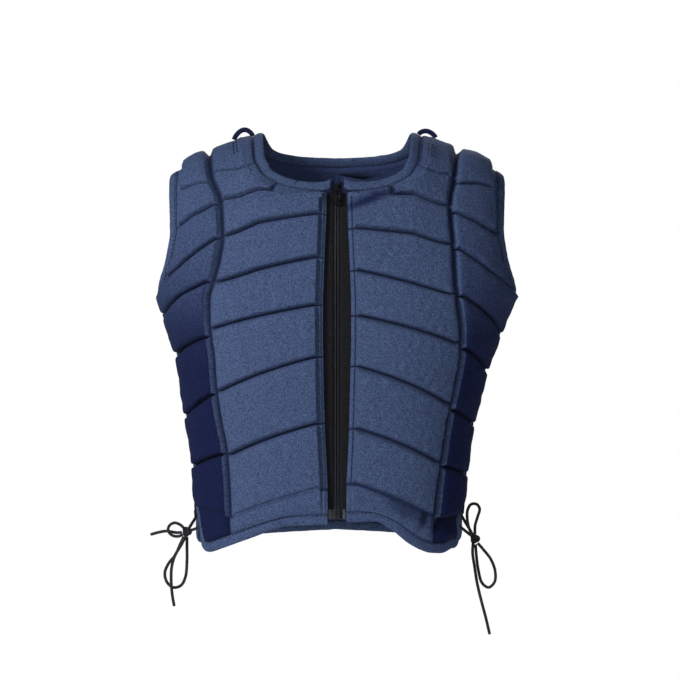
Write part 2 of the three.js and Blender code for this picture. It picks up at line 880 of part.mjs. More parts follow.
function band(name, sections) {
  const last = sections.length - 1;
  const half = BINDING_THICKNESS / 2;
  const corners = [[0, -1], [0, 1], [1, BINDING_TAPER], [1, -BINDING_TAPER]];
  const rings = sections.map(({ centre, away, normal, along }, i) => {
    const shift = (i === 0 ? 0.5 : 0) - (i === last ? 0.5 : 0);
    const base = centre.clone().addScaledVector(along, shift * CLEARANCE);
    return corners.map(([out, up]) => base.clone()
      .addScaledVector(away, BINDING_GAP + BINDING_WIDTH * out)
      .addScaledVector(normal, half * up));
  });
  add(name, loft(rings), navy);
}

// The corners of the cloth along the four edges of half a panel
function edgesOf(side, face) {
  const { grid } = halfPanel(side, face);
  const { corner, underarm } = bodyLines(side, face);
  const outer = grid.map((row) => row[row.length - 1]);
  const upTo = (list, lift) => list.filter((place) => place.lift > lift - 1e-6);
  const downFrom = (list, lift) => list.filter((place) => place.lift < lift + 1e-6);
  return {
    hem: grid[grid.length - 1],
    side: downFrom(outer, underarm).reverse(),
    armhole: upTo(outer, underarm).reverse(),
    neck: [...upTo(grid.map((row) => row[0]), corner), ...neckEnd(side, face)],
  };
}

// The end of the front neck binding, which runs on past the cloth to the slider and turns up a little
function neckEnd(side, face) {
  if (face === 'back') {
    return [];
  }
  const z = -NECK_FRONT_CORNER * BODY_DROP + NECK_END_RISE;
  const x = SLIDER_WIDTH / 2 + SLIDER_SPACE;
  return [{ side, turn: turnAt(side, x, z), lift: liftAt(x, z) }];
}

function bindings() {
  const halves = {};
  for (const side of [RIGHT, LEFT]) {
    for (const face of ['front', 'back']) {
      halves[`${face}${side}`] = edgesOf(side, face);
    }
  }
  const front = { [RIGHT]: halves[`front${RIGHT}`], [LEFT]: halves[`front${LEFT}`] };
  const back = { [RIGHT]: halves[`back${RIGHT}`], [LEFT]: halves[`back${LEFT}`] };
  const reversed = (list) => [...list].reverse();
  const outline = [
    front[RIGHT].hem,
    front[RIGHT].side,
    front[RIGHT].armhole,
    reversed(back[RIGHT].armhole),
    reversed(back[RIGHT].side),
    reversed(back[RIGHT].hem),
    back[LEFT].hem,
    back[LEFT].side,
    back[LEFT].armhole,
    reversed(front[LEFT].armhole),
    reversed(front[LEFT].side),
    reversed(front[LEFT].hem),
  ];
  const edge = chain(outline);
  const sections = bandSections(edge.places, -1);
  const names = ['hem_binding_right', 'armhole_binding_right', 'hem_binding_back',
    'armhole_binding_left', 'hem_binding_left'];
  const cuts = [0, edge.starts[2], edge.starts[4], edge.starts[8], edge.starts[10],
    sections.length - 1];
  names.forEach((name, k) => band(name, sections.slice(cuts[k], cuts[k + 1] + 1)));
  const neck = chain([
    reversed(front[RIGHT].neck),
    back[RIGHT].neck,
    reversed(back[LEFT].neck),
    front[LEFT].neck,
  ]);
  const neckSections = bandSections(neck.places, 1);
  const neckCuts = [0, neck.starts[1], neck.starts[3], neckSections.length - 1];
  ['neck_binding_right', 'neck_binding_back', 'neck_binding_left'].forEach((name, k) => {
    band(name, neckSections.slice(neckCuts[k], neckCuts[k + 1] + 1));
  });
}

// Joins runs of stations whose ends meet, and says where each run starts
function chain(runs) {
  const places = [...runs[0]];
  const starts = [0];
  for (const run of runs.slice(1)) {
    starts.push(places.length - 1);
    places.push(...run.slice(1));
  }
  return { places, starts };
}

// Small cloth loops that stand on the shoulder seams beside the neck
function shoulderLoop(side) {
  const outer = CHEST_HALF_WIDTH * SHOULDER_LOOP_FOOT;
  const inner = CHEST_HALF_WIDTH * SHOULDER_LOOP_HEAD;
  const seat = (x, sunk) => {
    const place = { side, turn: turnAt(side, x, CHEST_LEVEL), lift: RIDGE };
    return under(place, sunk - CLEARANCE - SHOULDER_LOOP_THICKNESS / 2);
  };
  const from = seat(outer, 0);
  const to = seat(inner, GROOVE_DEPTH);
  const rings = [];
  for (let i = 0; i <= SHOULDER_LOOP_STEPS; i++) {
    const t = i / SHOULDER_LOOP_STEPS;
    const centre = from.clone().lerp(to, t);
    centre.z += SHOULDER_LOOP_RISE * Math.sin(Math.PI * t);
    const slope = new THREE.Vector3().subVectors(to, from);
    slope.z += SHOULDER_LOOP_RISE * Math.PI * Math.cos(Math.PI * t);
    const out = new THREE.Vector3(slope.z, 0, -slope.x).normalize();
    const half = SHOULDER_LOOP_THICKNESS / 2;
    const back = SHOULDER_SEAM_GAP + SHOULDER_LOOP_WIDTH;
    rings.push([[0, -half], [back, -half], [back, half], [0, half]].map(([y, up]) => centre.clone()
      .addScaledVector(out, up * -side)
      .setY(SHOULDER_SEAM_GAP + y)));
  }
  add(`shoulder_loop_${NAMES[side]}`, loft(rings), deepNavy);
}

// A strip of the zip on one side, between two distances from its middle and two depths
function zipStrip(name, side, zones, near, from, to, material) {
  const rings = [];
  for (const { top, bottom, far } of zones) {
    const count = Math.max(1, Math.ceil((top - bottom) / ZIP_STEP));
    for (let i = 0; i <= count; i++) {
      const z = lerp(top, bottom, i / count);
      rings.push([[near, from], [far, from], [far, to], [near, to]].map(([x, sunk]) => {
        const place = { side, turn: turnAt(side, x, z), lift: liftAt(x, z) };
        return under(place, sunk);
      }));
    }
  }
  add(`${name}_${NAMES[side]}`, loft(rings), material);
}

function zipSides() {
  const front = PAD_THICKNESS + TAPE_GAP;
  const back = front + TAPE_THICKNESS;
  const near = COIL_HALF_WIDTH + CLEARANCE;
  const wide = ZIP_HALF_OPENING + TAPE_UNDERLAP;
  const neck = -NECK_FRONT_CORNER * BODY_DROP - TAPE_STEP;
  const neckWide = SLIDER_WIDTH / 2 + TAPE_STEP;
  const sliderTop = SLIDER_CENTRE + SLIDER_LENGTH / 2;
  const coilTop = SLIDER_CENTRE - SLIDER_LENGTH / 2 - CLEARANCE;
  const endTop = ZIP_BOTTOM + END_LENGTH;
  const face = front - CLEARANCE;
  for (const side of [RIGHT, LEFT]) {
    zipStrip('zip_tape', side, [
      { top: ZIP_TOP, bottom: neck, far: neckWide },
      { top: neck - TAPE_STEP, bottom: TAPE_NARROWS_AT, far: wide },
      { top: TAPE_NARROWS_AT - TAPE_STEP, bottom: ZIP_BOTTOM, far: TAPE_END_HALF_WIDTH },
    ], near, front, back, blackCloth);
    const coil = [{ top: coilTop, bottom: endTop + CLEARANCE, far: COIL_HALF_WIDTH }];
    const coilFront = front + TAPE_THICKNESS / 2 - COIL_THICKNESS / 2;
    const coilBack = coilFront + COIL_THICKNESS;
    zipStrip('zip_coil', side, coil, CLEARANCE / 2, coilFront, coilBack, blackPlastic);
    const stop = [{
      top: ZIP_TOP - TOP_STOP_DROP,
      bottom: sliderTop + TOP_STOP_SPACE,
      far: TOP_STOP_EDGE,
    }];
    zipStrip('zip_top_stop', side, stop, near, face - TOP_STOP_THICKNESS, face, blackMetal);
    const patch = [{
      top: endTop,
      bottom: ZIP_BOTTOM + FILM_INSET,
      far: TAPE_END_HALF_WIDTH - FILM_INSET,
    }];
    zipStrip('zip_end_film', side, patch, FILM_NEAR, face - FILM_THICKNESS, face, film);
  }
  const box = [{ top: endTop, bottom: ZIP_BOTTOM, far: BOX_HALF_WIDTH }];
  zipStrip('zip_box', RIGHT, box, CLEARANCE / 2, face - BOX_THICKNESS, face, blackMetal);
  const pin = [{ top: endTop, bottom: ZIP_BOTTOM, far: PIN_HALF_WIDTH }];
  const pinFront = front + (TAPE_THICKNESS - PIN_THICKNESS) / 2;
  zipStrip('zip_pin', LEFT, pin, CLEARANCE / 2, pinFront, pinFront + PIN_THICKNESS, blackMetal);
}

function toManifold(geometry) {
  const plain = geometry.index ? geometry.clone() : mergeVertices(geometry);
  plain.deleteAttribute('normal');
  plain.deleteAttribute('uv');
  const merged = mergeVertices(plain, 1e-4);
  return new wasm.Manifold(new wasm.Mesh({
    numProp: 3,
    vertProperties: new Float32Array(merged.attributes.position.array),
    triVerts: new Uint32Array(merged.index.array),
  }));
}

function fromManifold(solid) {
  const mesh = solid.getMesh();
  const geometry = new THREE.BufferGeometry();
  const corners = new Float32Array(mesh.vertProperties);
  geometry.setAttribute('position', new THREE.BufferAttribute(corners, 3));
  geometry.setIndex(Array.from(mesh.triVerts));
  geometry.computeVertexNormals();
  return geometry;
}

function block(x, y, z) {
  const box = new THREE.BoxGeometry(x[1] - x[0], y[1] - y[0], z[1] - z[0]);
  return box.translate((x[0] + x[1]) / 2, (y[0] + y[1]) / 2, (z[0] + z[1]) / 2);
}

// The slider and its puller, made flat: x across, y into the chest, z up along the zip
function slider() {
  const centre = skinFrame(0, SLIDER_CENTRE);
  const half = SLIDER_LENGTH / 2;
  const plate = [-SLIDER_WIDTH / 2, SLIDER_WIDTH / 2];
  const bridge = [-BRIDGE_WIDTH / 2, BRIDGE_WIDTH / 2];
  const plateBack = PLATE_FRONT + SLIDER_PLATE;
  const bridgeBack = PLATE_FRONT - BRIDGE_WINDOW;
  const post = [bridgeBack - SLIDER_OVERLAP, PLATE_FRONT + SLIDER_OVERLAP];
  const end = BRIDGE_LENGTH / 2;
  const core = [plateBack - SLIDER_OVERLAP, SLIDER_BACK[0] + SLIDER_OVERLAP];
  const pieces = [
    block(plate, [PLATE_FRONT, plateBack], [-half, half]),
    block([-COIL_HALF_WIDTH, COIL_HALF_WIDTH], core, [-half, half]),
    block(plate, SLIDER_BACK, [-half, half]),
    block(bridge, [bridgeBack - BRIDGE_THICKNESS, bridgeBack], [-end, end]),
    block(bridge, post, [-end, BRIDGE_THICKNESS - end]),
    block(bridge, post, [end - BRIDGE_THICKNESS, end]),
  ];
  const body = pieces.map(toManifold).reduce((all, piece) => all.add(piece));
  const mesh = add('zip_slider', fromManifold(body), blackMetal);
  mesh.position.copy(centre.origin);
  mesh.quaternion.copy(centre.turned);
  const pivot = new THREE.Vector3(0, PLATE_FRONT - BRIDGE_WINDOW / 2, PULLER_PIVOT);
  const pull = puller();
  pull.position.copy(pivot.applyQuaternion(centre.turned).add(centre.origin));
  pull.quaternion.copy(centre.turned);
  pull.rotateX(radians(PULLER_TILT));
}

function puller() {
  const half = PULLER_WIDTH / 2;
  const bar = PULLER_BAR / 2;
  const shape = new THREE.Shape();
  shape.moveTo(-half, bar);
  shape.lineTo(-half, half - PULLER_LENGTH);
  shape.absarc(0, half - PULLER_LENGTH, half, Math.PI, 2 * Math.PI, false);
  shape.lineTo(half, bar);
  const window = new THREE.Path();
  const side = BRIDGE_WIDTH / 2 + PULLER_WINDOW_PLAY;
  window.moveTo(-side, -bar);
  window.lineTo(side, -bar);
  window.lineTo(side, -PULLER_WINDOW_END);
  window.lineTo(-side, -PULLER_WINDOW_END);
  const hole = new THREE.Path();
  hole.absarc(0, -PULLER_HOLE_SHARE * PULLER_LENGTH, PULLER_HOLE_RADIUS, 0, 2 * Math.PI, true);
  shape.holes.push(window, hole);
  const geometry = new THREE.ExtrudeGeometry(shape, {
    depth: PULLER_THICKNESS,
    bevelEnabled: false,
    curveSegments: 5,
  });
  geometry.translate(0, 0, -PULLER_THICKNESS / 2);
  geometry.rotateX(Math.PI / 2);
  return add('zip_puller', fromManifold(toManifold(geometry)), blackMetal);
}

// A frame on the inner face of the padding: x across, y into the chest, z up the body
function skinFrame(x, z) {
  const place = { side: LEFT, turn: turnAt(LEFT, x, z), lift: liftAt(x, z) };
  const inward = normalAt(place.side, place.turn, place.lift).negate();
  const across = new THREE.Vector3(1, 0, 0);
  const up = across.clone().cross(inward).normalize();
  const matrix = new THREE.Matrix4().makeBasis(across, inward, up);
  const turned = new THREE.Quaternion().setFromRotationMatrix(matrix);
  return { origin: under(place, PAD_THICKNESS), turned };
}

// The edge of the cloth that a row of lace loops is sewn behind
function laceEdge(side, face) {
  const { side: places } = edgesOf(side, face);
  const sections = bandSections(places, face === 'front' ? side : -side);
  const along = [0];
  for (let i = 1; i < sections.length; i++) {
    along.push(along[i - 1] + sections[i].centre.distanceTo(sections[i - 1].centre));
  }
  return { sections, along };
}

// The point at some length up an edge, some way past it and some depth under the padded outline
function offEdge({ sections, along }, length, away, sunk) {
  let i = along.findIndex((value) => value >= length);
  i = i < 0 ? along.length - 1 : Math.max(1, i);
  const share = (length - along[i - 1]) / (along[i] - along[i - 1]);
  const a = sections[i - 1];
  const b = sections[i];
  const outward = a.away.clone().normalize().lerp(b.away.clone().normalize(), share).normalize();
  const normal = a.normal.clone().lerp(b.normal, share).normalize();
  const middle = (GROOVE_DEPTH + PAD_THICKNESS) / 2;
  return a.centre.clone().lerp(b.centre, share)
    .addScaledVector(outward, away)
    .addScaledVector(normal, middle - sunk);
}

function loopHeights(edge) {
  const total = edge.along[edge.along.length - 1];
  const heights = [];
  for (let k = 0; k < LOOPS_PER_EDGE; k++) {
    heights.push(lerp(LOOPS_FROM, total - LOOPS_TO, k / (LOOPS_PER_EDGE - 1)));
  }
  return heights;
}

// Webbing behind one side edge with loops that stand past its binding
function laceLoops(side, face) {
  const edge = laceEdge(side, face);
  const heights = loopHeights(edge);
  const sunk = (GROOVE_DEPTH + PAD_THICKNESS + BINDING_THICKNESS) / 2 + 1.5 * CLEARANCE;
  const half = LOOP_BORE / 2 + LOOP_WALL;
  const reach = loopAway() - half + LOOP_WALL / 2;
  const ends = [heights[0] - LOOP_LENGTH / 2, heights[LOOPS_PER_EDGE - 1] + LOOP_LENGTH / 2];
  const back = -sunk - LOOP_WALL;
  const strip = [back + STRIP_BAR_PROUD, -sunk - STRIP_BAR_PROUD];
  let body = toManifold(block(ends, [-SIDE_MARGIN, reach], strip));
  const pitch = (heights[1] - heights[0]) / 2;
  const barHalf = STRIP_BAR_LENGTH / 2;
  const bar = [-SIDE_MARGIN - STRIP_BAR_PROUD, reach + STRIP_BAR_PROUD];
  for (let k = 0; k < 2 * LOOPS_PER_EDGE - 1; k++) {
    const at = heights[0] + pitch * k;
    body = body.add(toManifold(block([at - barHalf, at + barHalf], bar, [back, -sunk])));
  }
  for (const height of heights) {
    const ring = new THREE.Shape(square(half));
    ring.holes.push(new THREE.Path(square(LOOP_BORE / 2)));
    const loop = new THREE.ExtrudeGeometry(ring, { depth: LOOP_LENGTH, bevelEnabled: false });
    loop.rotateY(Math.PI / 2).rotateX(Math.PI / 2);
    loop.translate(height - LOOP_LENGTH / 2, loopAway(), -loopSunk());
    body = body.add(toManifold(loop));
  }
  const geometry = fromManifold(body);
  const { position } = geometry.attributes;
  const point = new THREE.Vector3();
  for (let i = 0; i < position.count; i++) {
    point.fromBufferAttribute(position, i);
    const moved = offEdge(edge, point.x, point.y, -point.z);
    position.setXYZ(i, moved.x, moved.y, moved.z);
  }
  const index = Array.from(geometry.index.array);
  if (volumeOf(geometry, index) < 0) {
    geometry.setIndex(index.reverse());
  }
  geometry.computeVertexNormals();
  add(`lace_loops_${face}_${NAMES[side]}`, geometry, blackCloth);
}

function square(half) {
  const corners = [[-half, -half], [half, -half], [half, half], [-half, half]];
  return corners.map(([x, y]) => new THREE.Vector2(x, y));
}

function loopAway() {
  return BINDING_GAP + BINDING_WIDTH + CLEARANCE + LOOP_BORE / 2 + LOOP_WALL;
}

function loopSunk() {
  return (GROOVE_DEPTH + PAD_THICKNESS + BINDING_THICKNESS) / 2 - LOOP_RISE;
}

// A tube of so many sides along points, with an even step; its ends stay clear of the knot
function tube(name, points, sides, step, knot, material) {
  const route = new THREE.CatmullRomCurve3(points, false, 'centripetal');
  const count = Math.max(3, Math.round(route.getLength() / step));
  let samples = route.getSpacedPoints(count * CORD_SAMPLES);
  if (knot) {
    const far = KNOT_RADIUS + CORD_GAP;
    const from = samples.findIndex((point) => point.distanceTo(knot) > far);
    let to = samples.length - 1;
    while (samples[to].distanceTo(knot) <= far) {
      to -= 1;
    }
    samples = samples.slice(from, to + 1);
  }
  const kept = new THREE.CatmullRomCurve3(samples, false, 'centripetal').getSpacedPoints(count);
  const radius = LACE_DIAMETER / 2;
  let across = null;
  const rings = kept.map((point, i) => {
    const before = kept[Math.max(i - 1, 0)];
    const after = kept[Math.min(i + 1, kept.length - 1)];
    const along = after.clone().sub(before).normalize();
    across = across ?? new THREE.Vector3(along.z, along.x, along.y);
    across.addScaledVector(along, -across.dot(along)).normalize();
    const up = along.clone().cross(across);
    return Array.from({ length: sides }, (_, k) => {
      const angle = (2 * Math.PI * k) / sides;
      return point.clone()
        .addScaledVector(across, radius * Math.cos(angle))
        .addScaledVector(up, radius * Math.sin(angle));
    });
  });
  add(name, loft(rings), material);
}

// The lace that the loops hold: up one way, across the top, and down the other way, crossing itself
function lace(side, knot) {
  const edges = { front: laceEdge(side, 'front'), back: laceEdge(side, 'back') };
  const heights = { front: loopHeights(edges.front), back: loopHeights(edges.back) };
  const pass = LOOP_LENGTH / 2 + LACE_DIAMETER * 0.8;
  const through = (face, k, up) => [-pass, pass].map((d) => {
    const length = heights[face][k] + (up ? d : -d);
    return offEdge(edges[face], length, loopAway(), loopSunk());
  });
  const lead = (face) => offEdge(
    edges[face],
    heights[face][0] - pass - LACE_LEAD.down,
    loopAway() + LACE_LEAD.out,
    loopSunk() + LACE_LEAD.out,
  );
  const last = LOOPS_PER_EDGE - 1;
  const faceAt = (k, up) => ((k % 2 === 0) === up ? 'front' : 'back');
  const crossing = (a, b, lifted) => {
    const outward = new THREE.Vector3(side, 0, 0);
    const offset = (lifted ? 0.5 : -0.5) * (LACE_DIAMETER + LACE_CROSSING);
    return a.clone().lerp(b, 0.5).addScaledVector(outward, offset);
  };
  const points = [knot.clone(), lead('front')];
  for (let k = 0; k <= last; k++) {
    const [start, end] = through(faceAt(k, true), k, true);
    if (k > 0) {
      points.push(crossing(points[points.length - 1], start, k % 2 === 0));
    }
    points.push(start, end);
  }
  for (let k = last; k >= 0; k--) {
    const [start, end] = through(faceAt(k, false), k, false);
    if (k < last) {
      points.push(crossing(points[points.length - 1], start, k % 2 === 0));
    }
    points.push(start, end);
  }
  points.push(lead('back'), knot.clone());
  tube(`lace_${NAMES[side]}`, points, LACE_SIDES, LACE_STEP, knot, blackCloth);
}

function bow(side) {
  const routes = BOW_ROUTES[NAMES[side]];
  const knot = new THREE.Vector3(...routes.knot);
  const ball = mergeVertices(new THREE.IcosahedronGeometry(KNOT_RADIUS, 1).deleteAttribute('normal')
    .deleteAttribute('uv'), 1e-4);
  add(`bow_knot_${NAMES[side]}`, ball, blackCloth).position.copy(knot);
  for (const [name, points] of Object.entries(routes)) {
    if (name !== 'knot') {
      const route = points.map((point) => new THREE.Vector3(...point));
      tube(`bow_${name}_${NAMES[side]}`, route, CORD_SIDES, CORD_STEP, knot, blackCloth);
    }
  }
  lace(side, knot);
}

frontPanel(RIGHT);
frontPanel(LEFT);
backPanel();
bindings();
zipSides();
slider();
for (const side of [RIGHT, LEFT]) {
  shoulderLoop(side);
  laceLoops(side, 'front');
  laceLoops(side, 'back');
  bow(side);
}

export default part;
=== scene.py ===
import copy
import math

import bpy
import numpy as np
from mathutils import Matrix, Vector, noise


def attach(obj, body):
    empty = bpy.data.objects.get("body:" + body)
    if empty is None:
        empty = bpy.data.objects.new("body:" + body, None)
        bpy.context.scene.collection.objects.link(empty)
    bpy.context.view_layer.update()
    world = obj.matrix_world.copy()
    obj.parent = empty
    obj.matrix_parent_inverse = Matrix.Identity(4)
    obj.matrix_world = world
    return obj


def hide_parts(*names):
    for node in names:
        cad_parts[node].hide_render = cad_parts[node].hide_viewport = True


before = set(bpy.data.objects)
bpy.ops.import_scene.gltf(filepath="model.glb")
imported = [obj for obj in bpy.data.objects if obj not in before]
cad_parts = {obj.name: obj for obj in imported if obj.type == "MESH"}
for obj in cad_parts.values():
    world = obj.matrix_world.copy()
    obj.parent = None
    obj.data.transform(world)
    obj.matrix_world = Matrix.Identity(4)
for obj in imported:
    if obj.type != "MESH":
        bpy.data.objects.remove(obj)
bpy.ops.object.select_all(action="DESELECT")
scene = bpy.context.scene
BODY = "vest"
MM = 0.001

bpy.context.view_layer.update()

# Camera, level with the middle of the object, in metres
CAMERA_DISTANCE = 5.0
CAMERA_X = 0.003
CAMERA_Z = -0.19
PICTURE_WIDTH = 0.68
SENSOR_WIDTH = 36
camera_data = bpy.data.cameras.new("camera")
camera_data.sensor_width = SENSOR_WIDTH
camera_data.lens = SENSOR_WIDTH * CAMERA_DISTANCE / PICTURE_WIDTH
camera_data.clip_end = 10 * CAMERA_DISTANCE
camera = bpy.data.objects.new("camera", camera_data)
scene.collection.objects.link(camera)
camera.location = (CAMERA_X, -CAMERA_DISTANCE, CAMERA_Z)
camera.rotation_euler = (math.radians(90), 0, 0)
scene.camera = camera

# Sizes in millimetres, the same as in the part's source
BODY_DROP = 400
CHEST_HALF_WIDTH = 187
CHEST_DEPTH = {"front": 116, "back": 106}
SQUARENESS = 2.4
PAD_THICKNESS = 10.5
GROOVE_DEPTH = 7
SEAM_BEVEL = 3
CHANNEL_BEVEL = 5
NECK_MARGIN = 7
ZIP_MARGIN = 5
ARMHOLE_MARGIN = 7
SIDE_MARGIN = 4
SPINE_MARGIN = 0.8
BINDING_GAP = 0.5
BINDING_WIDTH = 9
BINDING_THICKNESS = 5
ZIP_HALF_OPENING = 13
ZIP_TOP = -29
ZIP_BOTTOM = -366
LACE_DIAMETER = 3
LOOPS_PER_EDGE = 5
LOOP_LENGTH = 6
LOOP_BORE = 5.5
LOOP_WALL = 1.2
LOOPS_FROM = 40
LOOPS_TO = 22
LOOP_RISE = 1
LACE_LEAD = {"down": 9, "out": 3}
KNOT_RADIUS = 4.6
TAPE_GAP = 0.6
TAPE_THICKNESS = 0.8
TAPE_UNDERLAP = 9
TAPE_NECK_HALF_WIDTH = 4.9
TAPE_END_HALF_WIDTH = 8.58
TAPE_NARROWS_AT = -356.8
CLEARANCE = 0.3
SLIDER_CENTRE = -38.5
SLIDER_LENGTH = 10
CLOTH_MIDDLE = (GROOVE_DEPTH + PAD_THICKNESS) / 2
RIGHT = -1
LEFT = 1
NAMES = {RIGHT: "right", LEFT: "left"}
RIDGE = math.pi / 2
CHEST_LEVEL = -0.3625 * BODY_DROP
CHEST_RISE = 0.41 * BODY_DROP

# Tables of (drop, share) or (out, share), as in the part's source
HALF_WIDTH = {
    RIGHT: [(0.36, 1), (0.425, 0.955), (0.475, 0.92), (0.52, 0.888), (0.615, 0.857),
            (0.685, 0.835), (0.75, 0.81), (0.875, 0.797), (1, 0.802)],
    LEFT: [(0.36, 1), (0.41, 0.95), (0.472, 0.897), (0.557, 0.828), (0.603, 0.804),
           (0.68, 0.762), (0.75, 0.738), (0.833, 0.719), (0.915, 0.711), (1, 0.717)],
}
DEPTH = {
    "front": [(0.36, 1), (0.5, 0.99), (0.65, 0.915), (0.8, 0.86), (0.9, 0.85), (1, 0.86)],
    "back": [(0.36, 1), (0.5, 0.965), (0.65, 0.86), (0.8, 0.815), (0.9, 0.83), (1, 0.87)],
}
SHOULDER_LINE = [(0, 0.075), (0.4, 0.066), (0.465, 0.048), (0.54, 0.025), (0.6, 0.015),
                 (0.652, 0.006), (0.743, -0.005), (0.797, -0.018), (0.834, -0.028),
                 (0.914, -0.05), (1, -0.072)]

# Rows of (drop, out); the row without a drop lies on the shoulder line
NECK_EDGE = {
    "front": [(None, 0.47), (0.0163, 0.449), (0.0525, 0.401), (0.0775, 0.326),
              (0.093, 0.23), (0.1, 0.128)],
    "back": [(None, 0.47), (-0.02, 0.432), (0.004, 0.345), (0.017, 0.21), (0.0215, 0.09)],
}
NECK_FRONT_CORNER = 0.103
NECK_BACK_CORNER = 0.0225
ZIP_EDGE = [(NECK_FRONT_CORNER, 0.8), (0.16, 0.82), (0.275, 0.96), (0.54, 1.04),
            (0.7, 0.92), (0.84, 0.73), (1, 0.7)]
ARMHOLE_EDGE = [(None, 0.868), (0.1, 0.882), (0.2, 0.882), (0.25, 0.9), (0.302, 0.932)]
UNDERARM = 0.368

# Rows of (drop, turn in degrees)
SIDE_EDGE = {
    ("front", RIGHT): [(UNDERARM, 78), (0.6, 78), (0.86, 77), (0.92, 68), (0.975, 63)],
    ("front", LEFT): [(UNDERARM, 78), (0.6, 78), (0.86, 77), (0.925, 68), (0.968, 66)],
    ("back", RIGHT): [(UNDERARM, 78), (0.9, 77), (0.96, 76)],
}
SIDE_EDGE["back", LEFT] = SIDE_EDGE["back", RIGHT]

# Rows of (out, drop)
HEM = {
    ("front", RIGHT): [(0, 0.905), (0.26, 0.908), (0.36, 0.918), (0.465, 0.936),
                       (0.6, 0.958), (0.7, 0.975)],
    ("front", LEFT): [(0, 0.9), (0.22, 0.898), (0.34, 0.925), (0.43, 0.957),
                      (0.52, 0.975), (0.58, 0.977), (0.64, 0.966)],
    ("back", RIGHT): [(0, 0.93), (0.4, 0.94), (0.8, 0.96)],
}
HEM["back", LEFT] = HEM["back", RIGHT]

# Rows of (drop, out), like those of the neck
CHANNEL = {
    ("front", RIGHT): [(None, 0.69), (0.06, 0.672), (0.133, 0.62), (0.223, 0.61),
                       (0.275, 0.626), (0.46, 0.68), (0.593, 0.652), (0.75, 0.596),
                       (0.885, 0.578), (1, 0.57)],
    ("front", LEFT): [(None, 0.65), (0.068, 0.629), (0.142, 0.604), (0.239, 0.62),
                      (0.345, 0.632), (0.458, 0.663), (0.557, 0.65), (0.63, 0.619),
                      (0.782, 0.564), (0.91, 0.529), (1, 0.518)],
    ("back", RIGHT): [(None, 0.69), (0.1, 0.64), (0.25, 0.6), (0.5, 0.58), (0.75, 0.53),
                      (1, 0.52)],
    ("back", LEFT): [(None, 0.65), (0.1, 0.63), (0.25, 0.6), (0.5, 0.57), (0.75, 0.51),
                     (1, 0.49)],
}

# Seams between pads: drop at the zip or spine, at both sides of the channel, and at the outer edge
SEAMS = {
    ("front", RIGHT): [
        (0.03, 0.06, 0.078, 0.112), (0.08, 0.128, 0.135, 0.195),
        (0.162, 0.216, 0.222, 0.305), (0.272, 0.328, 0.339, 0.415),
        (0.388, 0.448, 0.47, 0.51), (0.518, 0.602, 0.612, 0.665),
        (0.682, 0.758, 0.758, 0.788), (0.842, 0.912, 0.9, 0.902),
    ],
    ("front", LEFT): [
        (0.035, 0.068, 0.082, 0.105), (0.086, 0.141, 0.158, 0.208),
        (0.2, 0.237, 0.25, 0.345), (0.304, 0.361, 0.372, 0.46),
        (0.415, 0.482, 0.502, 0.552), (0.542, 0.634, 0.65, 0.685),
        (0.695, 0.777, 0.788, 0.808), (0.828, 0.905, 0.915, 0.92),
    ],
    ("back", RIGHT): [
        (-0.01, 0.06, 0.078, 0.105), (0.013, 0.135, 0.15, 0.2), (0.1, 0.23, 0.24, 0.32),
        (0.2375, 0.35, 0.36, 0.43), (0.375, 0.475, 0.485, 0.54), (0.525, 0.61, 0.62, 0.67),
        (0.68, 0.75, 0.76, 0.8), (0.84, 0.89, 0.9, 0.92),
    ],
}
SEAMS["back", LEFT] = SEAMS["back", RIGHT]

# Routes of the free cords, the same points as in the part's source
BOWS = {
    "right": {
        "knot": (-149.5, -18, -381),
        "small_loop": [(-151, -20, -379), (-156, -22, -374), (-162, -23, -372),
                       (-167, -22.5, -375), (-168, -22, -380), (-164, -21.5, -384.5),
                       (-158, -21, -385.5), (-152, -20, -383)],
        "large_loop": [(-152, -17.5, -385), (-156, -18, -393), (-161, -18.5, -404),
                       (-168, -19, -413), (-171.5, -19, -422), (-169.5, -19, -431),
                       (-163, -19, -436.5), (-155.5, -18.5, -434.5), (-151, -18, -426),
                       (-149.5, -17.5, -410), (-149.5, -17, -396), (-149.5, -17, -386)],
        "short_end": [(-152.5, -16, -381.5), (-160, -15.5, -382), (-170, -15, -380.5),
                      (-179, -15, -382), (-186, -15, -384)],
        "long_end": [(-151, -21, -386), (-155, -22.5, -394), (-161, -23.5, -404),
                     (-164.5, -24, -416), (-165, -24, -430), (-164, -24, -443),
                     (-162, -24, -455)],
    },
    "left": {
        "knot": (137.5, -18, -388),
        "small_loop": [(134.5, -23, -384), (131, -26, -376), (129.5, -26.5, -367),
                       (130, -25.5, -359), (133.5, -23.5, -353.5), (139, -23, -353.5),
                       (142, -22.5, -358), (140, -22, -366), (137.5, -21, -375),
                       (137.5, -20, -384)],
        "large_loop": [(139.5, -18, -391.5), (146, -18.5, -399), (153, -19, -408),
                       (157.5, -19, -420), (157, -19, -431), (151, -19, -436.5),
                       (144.5, -18.5, -432), (141, -18, -420), (139, -17.5, -406),
                       (138, -17, -392.5)],
        "long_end": [(135.5, -20.5, -392), (135, -22, -402), (137, -23, -416),
                     (139.5, -23.5, -432), (143.5, -23.5, -449), (148, -23.5, -466),
                     (152, -23.5, -483)],
    },
}


